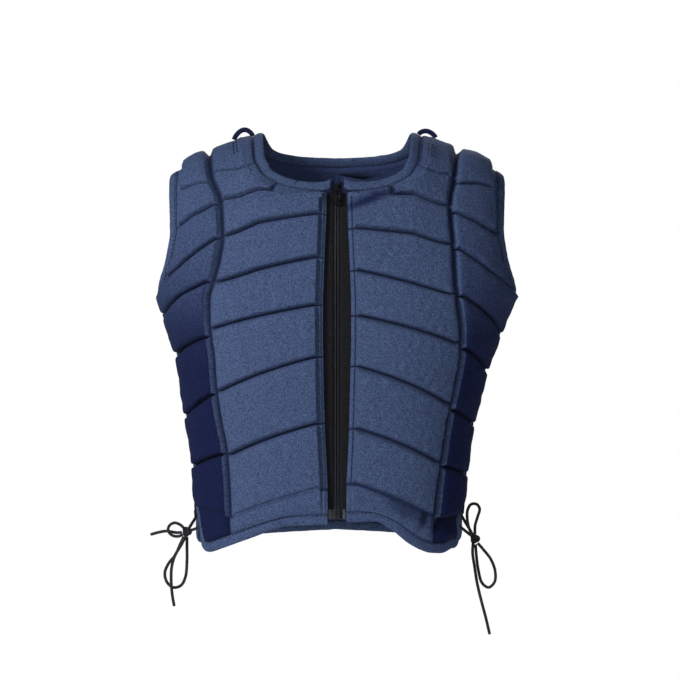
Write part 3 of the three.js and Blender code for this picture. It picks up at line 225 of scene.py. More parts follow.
class Curve:
    """A smooth curve through (x, y) rows, which never overshoots them"""

    def __init__(self, rows):
        rows = sorted(rows)
        self.x = np.array([float(row[0]) for row in rows])
        self.y = np.array([float(row[1]) for row in rows])
        slopes = np.diff(self.y) / np.diff(self.x)
        before = np.concatenate([slopes[:1], slopes])
        after = np.concatenate([slopes, slopes[-1:]])
        same = before * after > 0
        total = np.where(same, before + after, 1)
        self.tangent = np.where(same, 2 * before * after / total, 0)

    def __call__(self, at):
        at = np.clip(np.asarray(at, float), self.x[0], self.x[-1])
        i = np.clip(np.searchsorted(self.x, at, side="right") - 1, 0, len(self.x) - 2)
        span = self.x[i + 1] - self.x[i]
        t = (at - self.x[i]) / span
        rise = self.y[i] * (1 + 2 * t) * (1 - t) ** 2 + self.y[i + 1] * t * t * (3 - 2 * t)
        lean = self.tangent[i] * t * (1 - t) ** 2 - self.tangent[i + 1] * t * t * (1 - t)
        return rise + span * lean


WIDE = {side: Curve(HALF_WIDTH[side]) for side in (RIGHT, LEFT)}
DEEP = {face: Curve(DEPTH[face]) for face in ("front", "back")}
RISE = Curve(SHOULDER_LINE)


def signed_power(value, exponent):
    return np.sign(value) * np.abs(value) ** exponent


def half_width(side, z):
    return CHEST_HALF_WIDTH * WIDE[side](-np.asarray(z) / BODY_DROP)


def shoulder_rise(x):
    return BODY_DROP * RISE(np.abs(x) / CHEST_HALF_WIDTH) - CHEST_LEVEL


def skin(side, turn, lift):
    """A point of the padded outline, from a turn round the body and a lift up it"""
    turn, lift = np.broadcast_arrays(np.asarray(turn, float), np.asarray(lift, float))
    level = CHEST_LEVEL + CHEST_RISE * np.minimum(lift, 0)
    drop = -level / BODY_DROP
    x = half_width(side, level) * signed_power(np.sin(turn), 2 / SQUARENESS)
    forward = signed_power(np.cos(turn), 2 / SQUARENESS)
    depth = np.where(forward > 0, CHEST_DEPTH["front"] * DEEP["front"](drop),
                     CHEST_DEPTH["back"] * DEEP["back"](drop))
    rolled = np.maximum(lift, 0)
    z = level + shoulder_rise(x) * np.sin(rolled)
    return np.stack([side * x, -depth * forward * np.cos(rolled), z], axis=-1)


def unit(vectors):
    return vectors / np.maximum(np.linalg.norm(vectors, axis=-1, keepdims=True), 1e-9)


def normals_at(side, turn, lift):
    step = 1e-3
    across = skin(side, turn + step, lift) - skin(side, turn - step, lift)
    up = skin(side, turn, lift + step) - skin(side, turn, lift - step)
    return unit(np.cross(across, up) * side)


def under(side, turn, lift, sunk):
    point = skin(side, turn, lift)
    return point - normals_at(side, turn, lift) * np.asarray(sunk, float)[..., None]


def lift_at(x, z):
    x, z = np.broadcast_arrays(np.asarray(x, float), np.asarray(z, float))
    rolled = np.arcsin(np.clip((z - CHEST_LEVEL) / shoulder_rise(x), -1, 1))
    return np.where(z < CHEST_LEVEL, (z - CHEST_LEVEL) / CHEST_RISE, rolled)


def turn_at(side, x, z):
    share = np.minimum(1, x / half_width(side, np.minimum(z, CHEST_LEVEL)))
    return np.arcsin(share ** (SQUARENESS / 2))


def front_point(side, x, z, sunk):
    return under(side, turn_at(side, x, z), lift_at(x, z), sunk)


def place_row(side, drop, out, width=CHEST_HALF_WIDTH):
    x = out * width
    if drop is None:
        return float(turn_at(side, x, CHEST_LEVEL)), RIDGE, None
    z = -drop * BODY_DROP
    return float(turn_at(side, x, z)), float(lift_at(x, z)), drop


class Line:
    """A line up the body: turn for each lift, and lift for each drop"""

    def __init__(self, rows):
        self.turn = Curve([(row[1], row[0]) for row in rows])
        self.lift = Curve([(row[2], row[1]) for row in rows if row[2] is not None])


def body_lines(side, face):
    neck = [place_row(side, *row) for row in NECK_EDGE[face]]
    if face == "front":
        middle = [place_row(side, *row, ZIP_HALF_OPENING) for row in ZIP_EDGE]
    else:
        middle = [place_row(side, NECK_BACK_CORNER, 0), place_row(side, 1, 0)]
    arm = [place_row(side, *row) for row in ARMHOLE_EDGE]
    down = [(math.radians(turn), float(lift_at(0, -drop * BODY_DROP)), drop)
            for drop, turn in SIDE_EDGE[face, side]]
    return {
        "inner": Line(neck + middle),
        "channel": Line([place_row(side, *row) for row in CHANNEL[face, side]]),
        "outer": Line(arm + down),
        "corner": middle[0][1],
        "underarm": down[0][1],
    }


def aside(side, path, lift, distance, level):
    """Moves places on a line by so many millimetres away from the middle of the body"""
    step = 1e-3
    turn = path.turn(lift)
    point = skin(side, turn, lift)
    across = (skin(side, turn + step, lift) - point) / step
    above = skin(side, path.turn(lift + 10 * step), lift + 10 * step)
    below = skin(side, path.turn(lift - 10 * step), lift - 10 * step)
    away = np.cross(unit(below - above), normals_at(side, turn, lift))
    away = away * (-side * distance)[..., None]
    up = (point - skin(side, turn, lift - step)) / step
    slant = (across * up).sum(-1)
    aa = (across * across).sum(-1)
    uu = (up * up).sum(-1)
    fa = (away * across).sum(-1)
    fu = (away * up).sum(-1)
    square = np.maximum(aa * uu - slant ** 2, 1e-9)
    free_turn = turn + (fa * uu - fu * slant) / square
    free_lift = lift + (fu * aa - fa * slant) / square
    level_turn = turn + distance / np.sqrt(np.maximum(aa, 1e-9))
    return np.where(level, level_turn, free_turn), np.where(level, lift, free_lift)


SEAM_STEPS = [0, 0.4, 1.3, 2.3, 2.8, 4.4]
EDGE_STEPS = [0, 1.2, 2.4, 2.9, 4.6]
CHANNEL_STEPS = [0, 0.6, 2.6, 4.4, 4.9, 6.8]
PAD_STEP = 3.4
MAIN_COLUMNS = 27
SIDE_COLUMNS = 8
PUFF = 0.8
EDGE_COLUMN = 1.5
SEAM_GAP = 0.4
CHANNEL_GAP = 0.5
CHANNEL_REST = 0.7

# Gaps of columns on the flat margin and well inside a pad, and of rows below the last seam
ON_MARGIN = -1
INSIDE_PAD = 99
BELOW_SEAMS = -1.0

# Least share of the full rise beside the neck binding and in the sides of the hem rows
NECK_DOME = 0.3
HEM_SIDES = 0.4

# Columns inside the front margin: share of the margin, and rise as a share of the seam's bevel
MARGIN_COLUMNS = [(0.5, 0.35), (0.85, 0.3)]

# Painted shade on the side pads: how much darker their colour gets, and how much of that they get
# by their drop
SIDE_PAINTED_SHADE = 0.95
SIDE_SHADE_BY_DROP = Curve([(0.1, 0), (0.29, 0.33), (0.37, 0.58), (0.46, 0.9), (0.55, 1)])

# Painted shade: how lit the cloth is along its edges under the bindings, and how far the last seam
# of the right front fades, with its painted shade
PAINTED_EDGE_LIGHT = 0.1
SOFT_SEAM = {"raised": 0.62, "lit": 0.42}

# How far the cloth between the last seam and the hem stands out, row by row
HEM_RELIEF = {
    ("front", RIGHT): [0.62, 0.7, 0.62, 0.4, 0],
    ("front", LEFT): [0.05, 0.15, 0.45, 0.6, 0],
    ("back", RIGHT): [0.3, 0.5, 0.5, 0.3, 0],
    ("back", LEFT): [0.3, 0.5, 0.5, 0.3, 0],
}

# Painted shade on the same rows of the left front, under the last pad: how lit each row is, and
# how far out from the zip that starts
HEM_SHADE = [0.2, 0.3, 0.6, 1, 1]
SHADE_FROM = 25
SHADE_OVER = 35


def fine_rows(lines, seams):
    """Rows down a panel: four lifts, the distance to the nearest seam and the share of the pad"""
    levels = [[RIDGE] * 4]
    for middle, channel, beside, edge in seams:
        levels.append([float(lines["inner"].lift(middle)), float(lines["channel"].lift(channel)),
                       float(lines["channel"].lift(beside)), float(lines["outer"].lift(edge))])
    rows = []
    for k in range(len(levels) - 1):
        top, bottom = np.array(levels[k]), np.array(levels[k + 1])
        height = (top[1] - bottom[1]) * CHEST_RISE
        inner = [d for d in SEAM_STEPS if k > 0 or d == 0]
        shares = [d / height for d in inner] + [1 - d / height for d in SEAM_STEPS[1:]]
        free = 1 - (SEAM_STEPS[-1] / height) * (2 if k else 1)
        count = max(2, round(free * height / PAD_STEP))
        start = inner[-1] / height
        shares += [start + free * (i + 1) / (count + 1) for i in range(count)]
        for low_end, high_end, at in ((top[0], bottom[0], lines["corner"]),
                                      (top[3], bottom[3], lines["underarm"])):
            share = (low_end - at) / (low_end - high_end)
            if 0 < share < 1:
                shares.append(share)
        for share in sorted(shares):
            near = height if k == 0 else share * height
            near = min(near, (1 - share) * height)
            rows.append((*(top + (bottom - top) * share), near, share))
    rows.append((*levels[-1], 0.0, 0.0))
    return rows


def hem_lift(side, face, turn):
    x = side * skin(side, turn, lift_at(0, -BODY_DROP))[..., 0]
    drop = Curve(HEM[face, side])(x / CHEST_HALF_WIDTH)
    return lift_at(0, -BODY_DROP * drop)


def hem_on(side, face, path):
    lift = lift_at(0, -BODY_DROP)
    for _ in range(6):
        lift = hem_lift(side, face, path.turn(lift))
    return float(lift)


def half_panel(side, face):
    """Half a panel as grids of places, depths and looks, with rows down and columns across"""
    lines = body_lines(side, face)
    rows = fine_rows(lines, SEAMS[face, side])
    last = np.array(rows[-1][:4])
    hem = np.array([hem_on(side, face, lines["inner"]), hem_on(side, face, lines["channel"]),
                    hem_on(side, face, lines["channel"]), hem_on(side, face, lines["outer"])])
    hem_rows = len(HEM_RELIEF[face, side])
    for i in range(1, hem_rows + 1):
        rows.append((*(last + (hem - last) * i / hem_rows), BELOW_SEAMS, 0.0))
    table = np.array(rows)
    middle, channel, beside, edge, near, share = table.T
    is_hem = np.zeros(len(rows), bool)
    is_hem[-1] = True
    flat = near < 0
    level = is_hem | (middle > RIDGE - 1e-9)
    inner_margin = np.where(middle > lines["corner"] - 1e-6, NECK_MARGIN,
                            ZIP_MARGIN if face == "front" else SPINE_MARGIN)
    outer_margin = np.where(edge > lines["underarm"], ARMHOLE_MARGIN, SIDE_MARGIN)
    columns = []

    def column(place, gap, bevel, across):
        columns.append((*place, np.broadcast_to(gap, near.shape), bevel, across))

    def inner(distance):
        return aside(side, lines["inner"], middle, distance, level)

    def outer(distance):
        return aside(side, lines["outer"], edge, -distance, level)

    def blend(a, b, t):
        return a[0] + (b[0] - a[0]) * t, a[1] + (b[1] - a[1]) * t

    zero = np.zeros(len(rows))
    column(inner(zero), ON_MARGIN, SEAM_BEVEL, 0)
    column(inner(zero + EDGE_COLUMN), ON_MARGIN, SEAM_BEVEL, 0)
    margin_columns = MARGIN_COLUMNS if face == "front" else []
    for part, rise in margin_columns:
        column(inner(inner_margin * part), rise * SEAM_BEVEL, SEAM_BEVEL, 0)
    for step in EDGE_STEPS:
        column(inner(inner_margin + step), step, SEAM_BEVEL, 0)
    start = inner(inner_margin + EDGE_STEPS[-1])
    stop = aside(side, lines["channel"], channel, zero - CHANNEL_STEPS[-1], level)
    for i in range(1, MAIN_COLUMNS):
        t = i / MAIN_COLUMNS
        column(blend(start, stop, t), INSIDE_PAD, CHANNEL_BEVEL, t)
    for step in reversed(CHANNEL_STEPS):
        place = aside(side, lines["channel"], channel, zero - step, level)
        column(place, step - CHANNEL_GAP, CHANNEL_BEVEL, 1)
    side_from = len(columns)
    for step in CHANNEL_STEPS[1:]:
        place = aside(side, lines["channel"], beside, zero + step, level)
        column(place, step - CHANNEL_GAP, CHANNEL_BEVEL, 0)
    start = aside(side, lines["channel"], beside, zero + CHANNEL_STEPS[-1], level)
    stop = outer(outer_margin + EDGE_STEPS[-1])
    for i in range(1, SIDE_COLUMNS):
        t = i / SIDE_COLUMNS
        column(blend(start, stop, t), INSIDE_PAD, SEAM_BEVEL, t)
    for step in reversed(EDGE_STEPS):
        column(outer(outer_margin + step), step, SEAM_BEVEL, 1)
    column(outer(outer_margin / 2), ON_MARGIN, SEAM_BEVEL, 1)
    column(outer(zero + EDGE_COLUMN), ON_MARGIN, SEAM_BEVEL, 1)
    column(outer(zero), ON_MARGIN, SEAM_BEVEL, 1)

    turn = np.stack([c[0] for c in columns], 1)
    lift = np.stack([c[1] for c in columns], 1)
    lift[is_hem] = hem_lift(side, face, turn[is_hem])
    gap = np.stack([c[2] for c in columns], 1)
    bevel = np.array([c[3] for c in columns])[None, :]
    across = np.array([c[4] for c in columns])[None, :]
    sideways = np.clip(gap / bevel, 0, 1)
    lengthways = np.clip((near[:, None] - SEAM_GAP) / SEAM_BEVEL, 0, 1)
    raised = np.minimum(sideways, lengthways)
    relief = np.array(HEM_RELIEF[face, side])[:, None]
    raised[flat] = relief * np.minimum(1, sideways[flat] + HEM_SIDES)
    neck = middle > lines["corner"] - 1e-6
    margins = np.array([0, EDGE_COLUMN] + [NECK_MARGIN * part for part, _ in margin_columns]
                       + [NECK_MARGIN + step for step in EDGE_STEPS])
    dome = np.where(margins > 0, NECK_DOME + (1 - NECK_DOME) * margins / margins[-1], 0)
    domed = np.minimum(dome[None, :], NECK_DOME + lengthways)
    raised[neck, :len(dome)] = np.maximum(raised[:, :len(dome)], domed)[neck]
    # Painted shade through 'lit': darker in the seam grooves, the channel grooves and along the
    # edges
    seam = np.where(flat[:, None], 1, np.clip(near[:, None] / SEAM_BEVEL, 0, 1))
    in_channel = (bevel == CHANNEL_BEVEL) & ~flat[:, None]
    lit = np.minimum(seam, np.where(in_channel, sideways, 1))
    lit[:, -2:] = PAINTED_EDGE_LIGHT
    lit[neck, :2] = PAINTED_EDGE_LIGHT
    lit[-1] = PAINTED_EDGE_LIGHT
    # The last seam of the right front is softer, with less painted shade
    if (face, side) == ("front", RIGHT):
        soft = slice(len(rows) - hem_rows - len(SEAM_STEPS), len(rows) - hem_rows)
        raised[soft] = np.maximum(raised[soft], SOFT_SEAM["raised"] * sideways[soft])
        lit[soft] = np.maximum(lit[soft], SOFT_SEAM["lit"] * sideways[soft])
    if (face, side) == ("front", LEFT):
        # Painted shade under the last pad of the left front, growing outwards from the zip
        out = np.abs(skin(side, turn, lift)[..., 0])
        shaded = np.clip((out[flat] - SHADE_FROM) / SHADE_OVER, 0, 1)
        lit[flat] *= 1 - shaded * (1 - np.array(HEM_SHADE))[:, None]
    puff = np.sqrt(np.clip(np.sin(np.pi * across) * np.sin(np.pi * share[:, None]), 0, 1))
    sunk = GROOVE_DEPTH * (1 - raised) - PUFF * puff * (raised >= 1)
    if face == "back":
        turn = np.pi - turn
    drop = -skin(side, turn, lift)[..., 2] / BODY_DROP
    # Painted shade: the side pads past the channel, and their rows below the seams, darken further
    # down the body
    past_channel = (gap >= bevel - CHANNEL_REST) | (bevel != CHANNEL_BEVEL)
    side_shade_mask = (np.arange(len(columns))[None, :] >= side_from) & (flat[:, None] | past_channel)
    tone = 1 - SIDE_PAINTED_SHADE * side_shade_mask * SIDE_SHADE_BY_DROP(drop)
    half = {"turn": turn, "lift": lift, "sunk": sunk, "raised": raised, "tone": tone, "lit": lit}
    wall = {key: value[:1].copy() for key, value in half.items()}
    wall["sunk"][:] = PAD_THICKNESS - CLEARANCE
    half = {key: np.concatenate([wall[key], half[key]]) for key in half}
    half["edge"] = np.concatenate([edge[:1], edge])
    half["middle"] = np.concatenate([middle[:1], middle])
    half["lines"] = lines
    return half


HALVES = {(face, side): half_panel(side, face)
          for face in ("front", "back") for side in (RIGHT, LEFT)}


def make_piece(name, points, faces, uvs=None, shares=None):
    """A mesh object from points in millimetres; uvs are given for each point"""
    mesh = bpy.data.meshes.new(name)
    mesh.from_pydata([tuple(p) for p in np.asarray(points) * MM], [], faces)
    if uvs is not None:
        layer = mesh.uv_layers.new(name="UVMap")
        corners = np.zeros(len(mesh.loops), np.int32)
        mesh.loops.foreach_get("vertex_index", corners)
        layer.data.foreach_set("uv", np.asarray(uvs, float)[corners].ravel())
    for key, values in (shares or {}).items():
        attribute = mesh.attributes.new(key, "FLOAT", "POINT")
        attribute.data.foreach_set("value", np.asarray(values, float).ravel())
    mesh.polygons.foreach_set("use_smooth", [True] * len(mesh.polygons))
    mesh.validate()
    mesh.update()
    piece = bpy.data.objects.new(name, mesh)
    scene.collection.objects.link(piece)
    return piece


def grid_faces(rows, columns, flip=False, start=0, closed=False):
    faces = []
    wide = columns if closed else columns - 1
    for i in range(rows - 1):
        for j in range(wide):
            k = (j + 1) % columns
            face = (start + i * columns + j, start + (i + 1) * columns + j,
                    start + (i + 1) * columns + k, start + i * columns + k)
            faces.append(face[::-1] if flip else face)
    return faces


def tube_faces(rows, columns, start=0):
    """The faces of a closed tube and of its two ends"""
    first = tuple(range(start, start + columns))
    last = tuple(j + (rows - 1) * columns for j in first)
    return grid_faces(rows, columns, start=start, closed=True) + [first, last[::-1]]


def lengths_across(grid):
    """Distances along the rows and down the columns of a grid of points"""
    u = np.zeros(grid.shape[:2])
    v = np.zeros(grid.shape[:2])
    u[:, 1:] = np.cumsum(np.linalg.norm(np.diff(grid, axis=1), axis=-1), axis=1)
    v[1:] = np.cumsum(np.linalg.norm(np.diff(grid, axis=0), axis=-1), axis=0)
    return np.stack([u, v], -1) * MM


def fit(piece, node=None):
    """Attaches a piece to its body and hides the solid that it stands for, if one is given"""
    if node:
        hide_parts(node)
    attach(piece, BODY)


# Points nearer than this are joined, in metres
SAME_PLACE = 1e-7
SAME_PLACE_IN_PANELS = 2e-4


def weld(piece, distance=SAME_PLACE):
    bpy.ops.object.select_all(action="DESELECT")
    piece.select_set(True)
    bpy.context.view_layer.objects.active = piece
    bpy.ops.object.mode_set(mode="EDIT")
    bpy.ops.mesh.select_all(action="SELECT")
    bpy.ops.mesh.remove_doubles(threshold=distance)
    bpy.ops.mesh.normals_make_consistent(inside=False)
    bpy.ops.object.mode_set(mode="OBJECT")
    piece.select_set(False)


def subdivide(piece):
    modifier = piece.modifiers.new("smooth", "SUBSURF")
    modifier.levels = modifier.render_levels = 1
    bpy.context.view_layer.objects.active = piece
    bpy.ops.object.modifier_apply(modifier=modifier.name)


SIM_FRAMES = 14
SIM_CAP = 1.5

# Cloth raised less than this is held by its seam, and the rest is held loosely
HELD_BELOW = 0.75
LOOSE_HOLD = 0.35


def settle_cloth(piece):
    """Lets the loose cloth over the foam buckle a little between the seams that hold it"""
    mesh = piece.data
    start = np.zeros(len(mesh.vertices) * 3)
    mesh.vertices.foreach_get("co", start)
    held = piece.vertex_groups.new(name="held")
    values = np.zeros(len(mesh.vertices))
    mesh.attributes["raised"].data.foreach_get("value", values)
    for i, value in enumerate(values):
        held.add([i], 1.0 if value < HELD_BELOW else LOOSE_HOLD, "REPLACE")
    cloth = piece.modifiers.new("cloth", "CLOTH")
    settings = cloth.settings
    settings.quality = 6
    settings.mass = 0.15
    settings.tension_stiffness = 25
    settings.compression_stiffness = 25
    settings.shear_stiffness = 8
    settings.bending_stiffness = 0.08
    settings.vertex_group_mass = "held"
    settings.pin_stiffness = 3
    settings.shrink_min = -0.035
    settings.use_pressure = True
    settings.uniform_pressure_force = 1.5
    settings.effector_weights.gravity = 0
    cloth.collision_settings.use_self_collision = False
    cloth.collision_settings.use_collision = False
    cloth.point_cache.frame_start = 1
    cloth.point_cache.frame_end = SIM_FRAMES
    for step in range(1, SIM_FRAMES + 1):
        scene.frame_set(step)
    shown = piece.evaluated_get(bpy.context.evaluated_depsgraph_get())
    settled = np.zeros(len(start))
    shown.data.vertices.foreach_get("co", settled)
    piece.modifiers.remove(cloth)
    scene.frame_set(1)
    move = (settled - start).reshape(-1, 3)
    reach = np.linalg.norm(move, axis=1)
    cap = SIM_CAP * MM
    print(piece.name, "cloth moved", round(float(reach.mean() / MM), 2), "mm, at most",
          round(float(reach.max() / MM), 2))
    move *= (cap * np.tanh(reach / cap) / np.maximum(reach, 1e-12))[:, None]
    mesh.vertices.foreach_set("co", start + move.ravel())
    mesh.update()


# Soft folds in the cloth of the fronts: place, reach across and along, lean and height, and for
# the dark ones how deep the painted shade in their hollows gets
FOLDS = [
    {"x": 80, "z": -366, "wide": 2.6, "long": 8, "lean": 0.35, "high": 2.2},
    {"x": 86, "z": -367, "wide": 2.2, "long": 8, "lean": 0.35, "high": -1.2, "dark": 0.75},
    {"x": 92, "z": -370, "wide": 2.6, "long": 9, "lean": 0.35, "high": 2.2},
    {"x": 98, "z": -372, "wide": 2.2, "long": 9, "lean": 0.3, "high": -1.0, "dark": 0.6},
    {"x": 104, "z": -376, "wide": 3.0, "long": 8, "lean": 0.3, "high": 1.4},
    {"x": 62, "z": -364, "wide": 3.4, "long": 6, "lean": 0.2, "high": 1.2},
    {"x": 31, "z": -52, "wide": 12, "long": 11, "lean": 2.05, "high": -1.0, "dark": 0.9},
    {"x": -115, "z": -372, "wide": 3.0, "long": 9, "lean": -0.5, "high": 1.1},
    {"x": -96, "z": -372, "wide": 3.4, "long": 8, "lean": -0.4, "high": 0.9},
]


# Fine wrinkles: how close together they are, and their height on the bevels and elsewhere
WRINKLE_PITCH = 0.12
WRINKLE_ON_BEVEL = 0.32
WRINKLE = 0.2


def creases(points, normals, raised, tone):
    """Moves the points by the wrinkles and folds, and paints shade into the tone of the hollow
    folds
    """
    moved = points.copy()
    for i, point in enumerate(points):
        place = Vector(point) * WRINKLE_PITCH
        coarse = noise.noise(place * 1.1)
        fine = noise.noise(place * 3.1 + Vector((7, 3, 1)))
        strength = WRINKLE_ON_BEVEL if 0.02 < raised[i] < 0.98 else WRINKLE
        moved[i] += normals[i] * strength * (coarse + 0.6 * fine)
    front = points[:, 1] < 0
    for fold in FOLDS:
        x, z = points[:, 0] - fold["x"], points[:, 2] - fold["z"]
        along = z / fold["long"]
        across = (x - fold["lean"] * z) / fold["wide"]
        near = np.exp(-across ** 2 - along ** 2) * front
        moved += normals * (fold["high"] * near)[:, None]
        # Painted shade in the hollows of the dark folds
        spot = np.exp(-(across ** 2 + along ** 2) ** 2) * front
        tone = tone * (1 - fold.get("dark", 0) * spot)
    return moved, tone


def panel(name, parts, node):
    points, faces, uvs = [], [], []
    shares = {key: [] for key in ("raised", "tone", "lit")}
    start = 0
    for face, side in parts:
        half = HALVES[face, side]
        grid = under(side, half["turn"], half["lift"], half["sunk"])
        normal = normals_at(side, half["turn"], half["lift"])
        rows, columns = half["turn"].shape
        moved, half["tone"] = creases(grid.reshape(-1, 3), normal.reshape(-1, 3),
                                      half["raised"].ravel(), half["tone"].ravel())
        points.append(moved)
        uv = lengths_across(grid)
        uv[..., 0] *= side
        uvs.append(uv.reshape(-1, 2))
        for key, values in shares.items():
            values.append(half[key].ravel())
        faces += grid_faces(rows, columns, (side > 0) != (face == "front"), start)
        start += rows * columns
    points = np.concatenate(points)
    if node == "back_panel":
        points[np.abs(points[:, 0]) < 0.6, 0] = 0
    shares = {key: np.concatenate(values) for key, values in shares.items()}
    piece = make_piece(name, points, faces, np.concatenate(uvs), shares=shares)
    weld(piece, SAME_PLACE_IN_PANELS)
    settle_cloth(piece)
    subdivide(piece)
    fit(piece, node)
    return piece


# The lining takes every so many rows and columns of the panel, and ends just below its groove
LINING_ROWS = 4
LINING_COLUMNS = 3
LINING_EDGE = GROOVE_DEPTH + 0.2


def lining(name, parts):
    """The smooth inner face of a panel, with walls up to the outer cloth at its edges"""
    points, faces, uvs = [], [], []
    start = 0
    for face, side in parts:
        half = HALVES[face, side]
        rows, columns = half["turn"].shape
        pick_r = sorted({*range(0, rows, LINING_ROWS), rows - 1,
                         int(np.argmin(np.abs(half["middle"] - half["lines"]["corner"]))),
                         int(np.argmin(np.abs(half["edge"] - half["lines"]["underarm"])))})
        pick_c = sorted({*range(0, columns, LINING_COLUMNS), columns - 1})
        pick_r = [pick_r[0], *pick_r, pick_r[-1]]
        pick_c = [pick_c[0], *pick_c, pick_c[-1]]
        turn = half["turn"][np.ix_(pick_r, pick_c)]
        lift = half["lift"][np.ix_(pick_r, pick_c)]
        sunk = np.full(turn.shape, PAD_THICKNESS)
        sunk[0] = sunk[-1] = LINING_EDGE
        sunk[:, -1] = LINING_EDGE
        if face == "front":
            sunk[:, 0] = LINING_EDGE
        grid = under(side, turn, lift, sunk)
        uv = lengths_across(grid)
        points.append(grid.reshape(-1, 3))
        uvs.append(uv.reshape(-1, 2))
        flip = (side > 0) == (face == "front")
        faces += grid_faces(len(pick_r), len(pick_c), flip, start)
        start += len(pick_r) * len(pick_c)
    piece = make_piece(name, np.concatenate(points), faces, np.concatenate(uvs))
    fit(piece)
    return piece


def resample(values, along, step):
    total = along[-1]
    count = max(2, round(total / step))
    at = np.linspace(0, total, count + 1)
    return np.stack([np.interp(at, along, values[:, k]) for k in range(values.shape[1])], 1)


def smoothed(values, passes):
    out = values.copy()
    for _ in range(passes):
        out[1:-1] = (out[:-2] + 2 * out[1:-1] + out[2:]) / 4
    return out


# Stations along an edge: their distance, the least that counts, and how far a corner is mitred
EDGE_STEP = 2.5
LEAST_STEP = 0.05
MITRE = 1.3


class Edge:
    """Stations along the edge of the cloth: centre, direction away from the cloth, and normal"""

    def __init__(self, places, sign, passes=2):
        centres, normals = [], []
        for side, turn, lift in places:
            centres.append(under(side, turn, lift, CLOTH_MIDDLE))
            normals.append(normals_at(side, turn, lift))
        centres, normals = np.array(centres), np.array(normals)
        keep = [0]
        for i in range(1, len(centres)):
            if np.linalg.norm(centres[i] - centres[keep[-1]]) > LEAST_STEP:
                keep.append(i)
        centres, normals = centres[keep], normals[keep]
        gaps = np.linalg.norm(np.diff(centres, axis=0), axis=1)
        along = np.concatenate([[0], np.cumsum(gaps)])
        both = resample(np.hstack([centres, normals]), along, EDGE_STEP)
        self.centre = smoothed(both[:, :3], passes)
        self.normal = unit(both[:, 3:])
        tangent = unit(np.gradient(self.centre, axis=0))
        self.away = unit(np.cross(tangent, self.normal)) * sign
        self.away = smoothed(self.away, 2 * passes)
        self.reach = smoothed(np.clip(1 / np.linalg.norm(self.away, axis=1), 1, MITRE), 2)
        gaps = np.linalg.norm(np.diff(self.centre, axis=0), axis=1)
        self.along = np.concatenate([[0], np.cumsum(gaps)])

    def length(self):
        return self.along[-1]

    def nearest(self, place):
        point = under(*place, CLOTH_MIDDLE)
        return int(np.argmin(np.linalg.norm(self.centre - point, axis=1)))

    def cut(self, start, stop):
        part = copy.copy(self)
        for key in ("centre", "normal", "away", "reach", "along"):
            setattr(part, key, getattr(self, key)[start:stop + 1])
        part.along = part.along - part.along[0]
        return part

    def at(self, length, away, up):
        """Points at lengths along the edge, so far past it and above the middle of the cloth"""
        length = np.asarray(length, float)
        centre, outward, normal = (
            np.stack([np.interp(length, self.along, values[:, k]) for k in range(3)], -1)
            for values in (self.centre, self.away, self.normal))
        away = (np.asarray(away, float) * np.interp(length, self.along, self.reach))[..., None]
        up = np.asarray(up, float)[..., None]
        return centre + unit(outward) * away + unit(normal) * up


# Where the neck edge of a front ends beside the zip: x, and height above the front corner
NECK_END_X = 5.5
NECK_END_RISE = 2.5


def edge_places(side, face):
    half = HALVES[face, side]
    turn, lift = half["turn"], half["lift"]
    outer = [(side, turn[i, -1], lift[i, -1]) for i in range(len(turn))]
    inner = [(side, turn[i, 0], lift[i, 0]) for i in range(len(turn))]
    underarm, corner = half["lines"]["underarm"], half["lines"]["corner"]
    places = {
        "hem": [(side, turn[-1, j], lift[-1, j]) for j in range(turn.shape[1])],
        "side": [p for p in outer if p[2] < underarm + 1e-6][::-1],
        "armhole": [p for p in outer if p[2] > underarm - 1e-6][::-1],
        "neck": [p for p in inner if p[2] > corner - 1e-6],
    }
    if face == "front":
        x, z = NECK_END_X, -NECK_FRONT_CORNER * BODY_DROP + NECK_END_RISE
        places["neck"].append((side, float(turn_at(side, x, z)), float(lift_at(x, z))))
    return places


EDGES = {key: edge_places(key[1], key[0]) for key in HALVES}


def binding_edges():
    """The run of cloth edge that each binding folds over"""
    fr, fl = EDGES["front", RIGHT], EDGES["front", LEFT]
    br, bl = EDGES["back", RIGHT], EDGES["back", LEFT]
    outline = Edge(fr["hem"] + fr["side"] + fr["armhole"] + br["armhole"][::-1]
                   + br["side"][::-1] + br["hem"][::-1] + bl["hem"] + bl["side"]
                   + bl["armhole"] + fl["armhole"][::-1] + fl["side"][::-1]
                   + fl["hem"][::-1], -1, passes=1)
    corners = [outline.nearest(half["armhole"][0]) for half in (fr, br, bl, fl)]
    cuts = [0, *corners, len(outline.along) - 1]
    names = ["hem_binding_right", "armhole_binding_right", "hem_binding_back",
             "armhole_binding_left", "hem_binding_left"]
    edges = {name: outline.cut(cuts[k], cuts[k + 1]) for k, name in enumerate(names)}
    neck = Edge(fr["neck"][::-1] + br["neck"] + bl["neck"][::-1] + fl["neck"], 1)
    cuts = [0, neck.nearest(fr["neck"][0]), neck.nearest(fl["neck"][0]), len(neck.along) - 1]
    names = ["neck_binding_right", "neck_binding_back", "neck_binding_left"]
    edges.update({name: neck.cut(cuts[k], cuts[k + 1]) for k, name in enumerate(names)})
    return edges


# Section of a folded binding: (share of its width past the edge, share of its half thickness)
FOLD = [(-0.1, 0.62), (0.0, 0.8), (0.2, 0.98), (0.45, 1.0), (0.7, 0.92), (0.88, 0.66),
        (0.98, 0.3), (1.0, 0.0), (0.98, -0.3), (0.88, -0.66), (0.7, -0.92), (0.45, -1.0),
        (0.2, -0.98), (0.0, -0.8), (-0.1, -0.62), (-0.02, 0.0)]


# Ends of the neck bindings beside the zip: which end, how far it moves up, how much it widens
# there, over what length, and how far it leans towards the zip
FLARES = {"neck_binding_right": (0, 3, 1.5), "neck_binding_left": (1, 4, 3)}
FLARE_LENGTH = 12
FLARE_LEAN = 5.5

# How uneven a binding is in its width (millimetres) and its thickness (share), and how closely
# that changes along it and across it
WIDTH_RIPPLE = 0.35
THICKNESS_RIPPLE = 0.16
RIPPLE_ALONG = 0.16
RIPPLE_ACROSS = 2.2
END_RING = 0.15


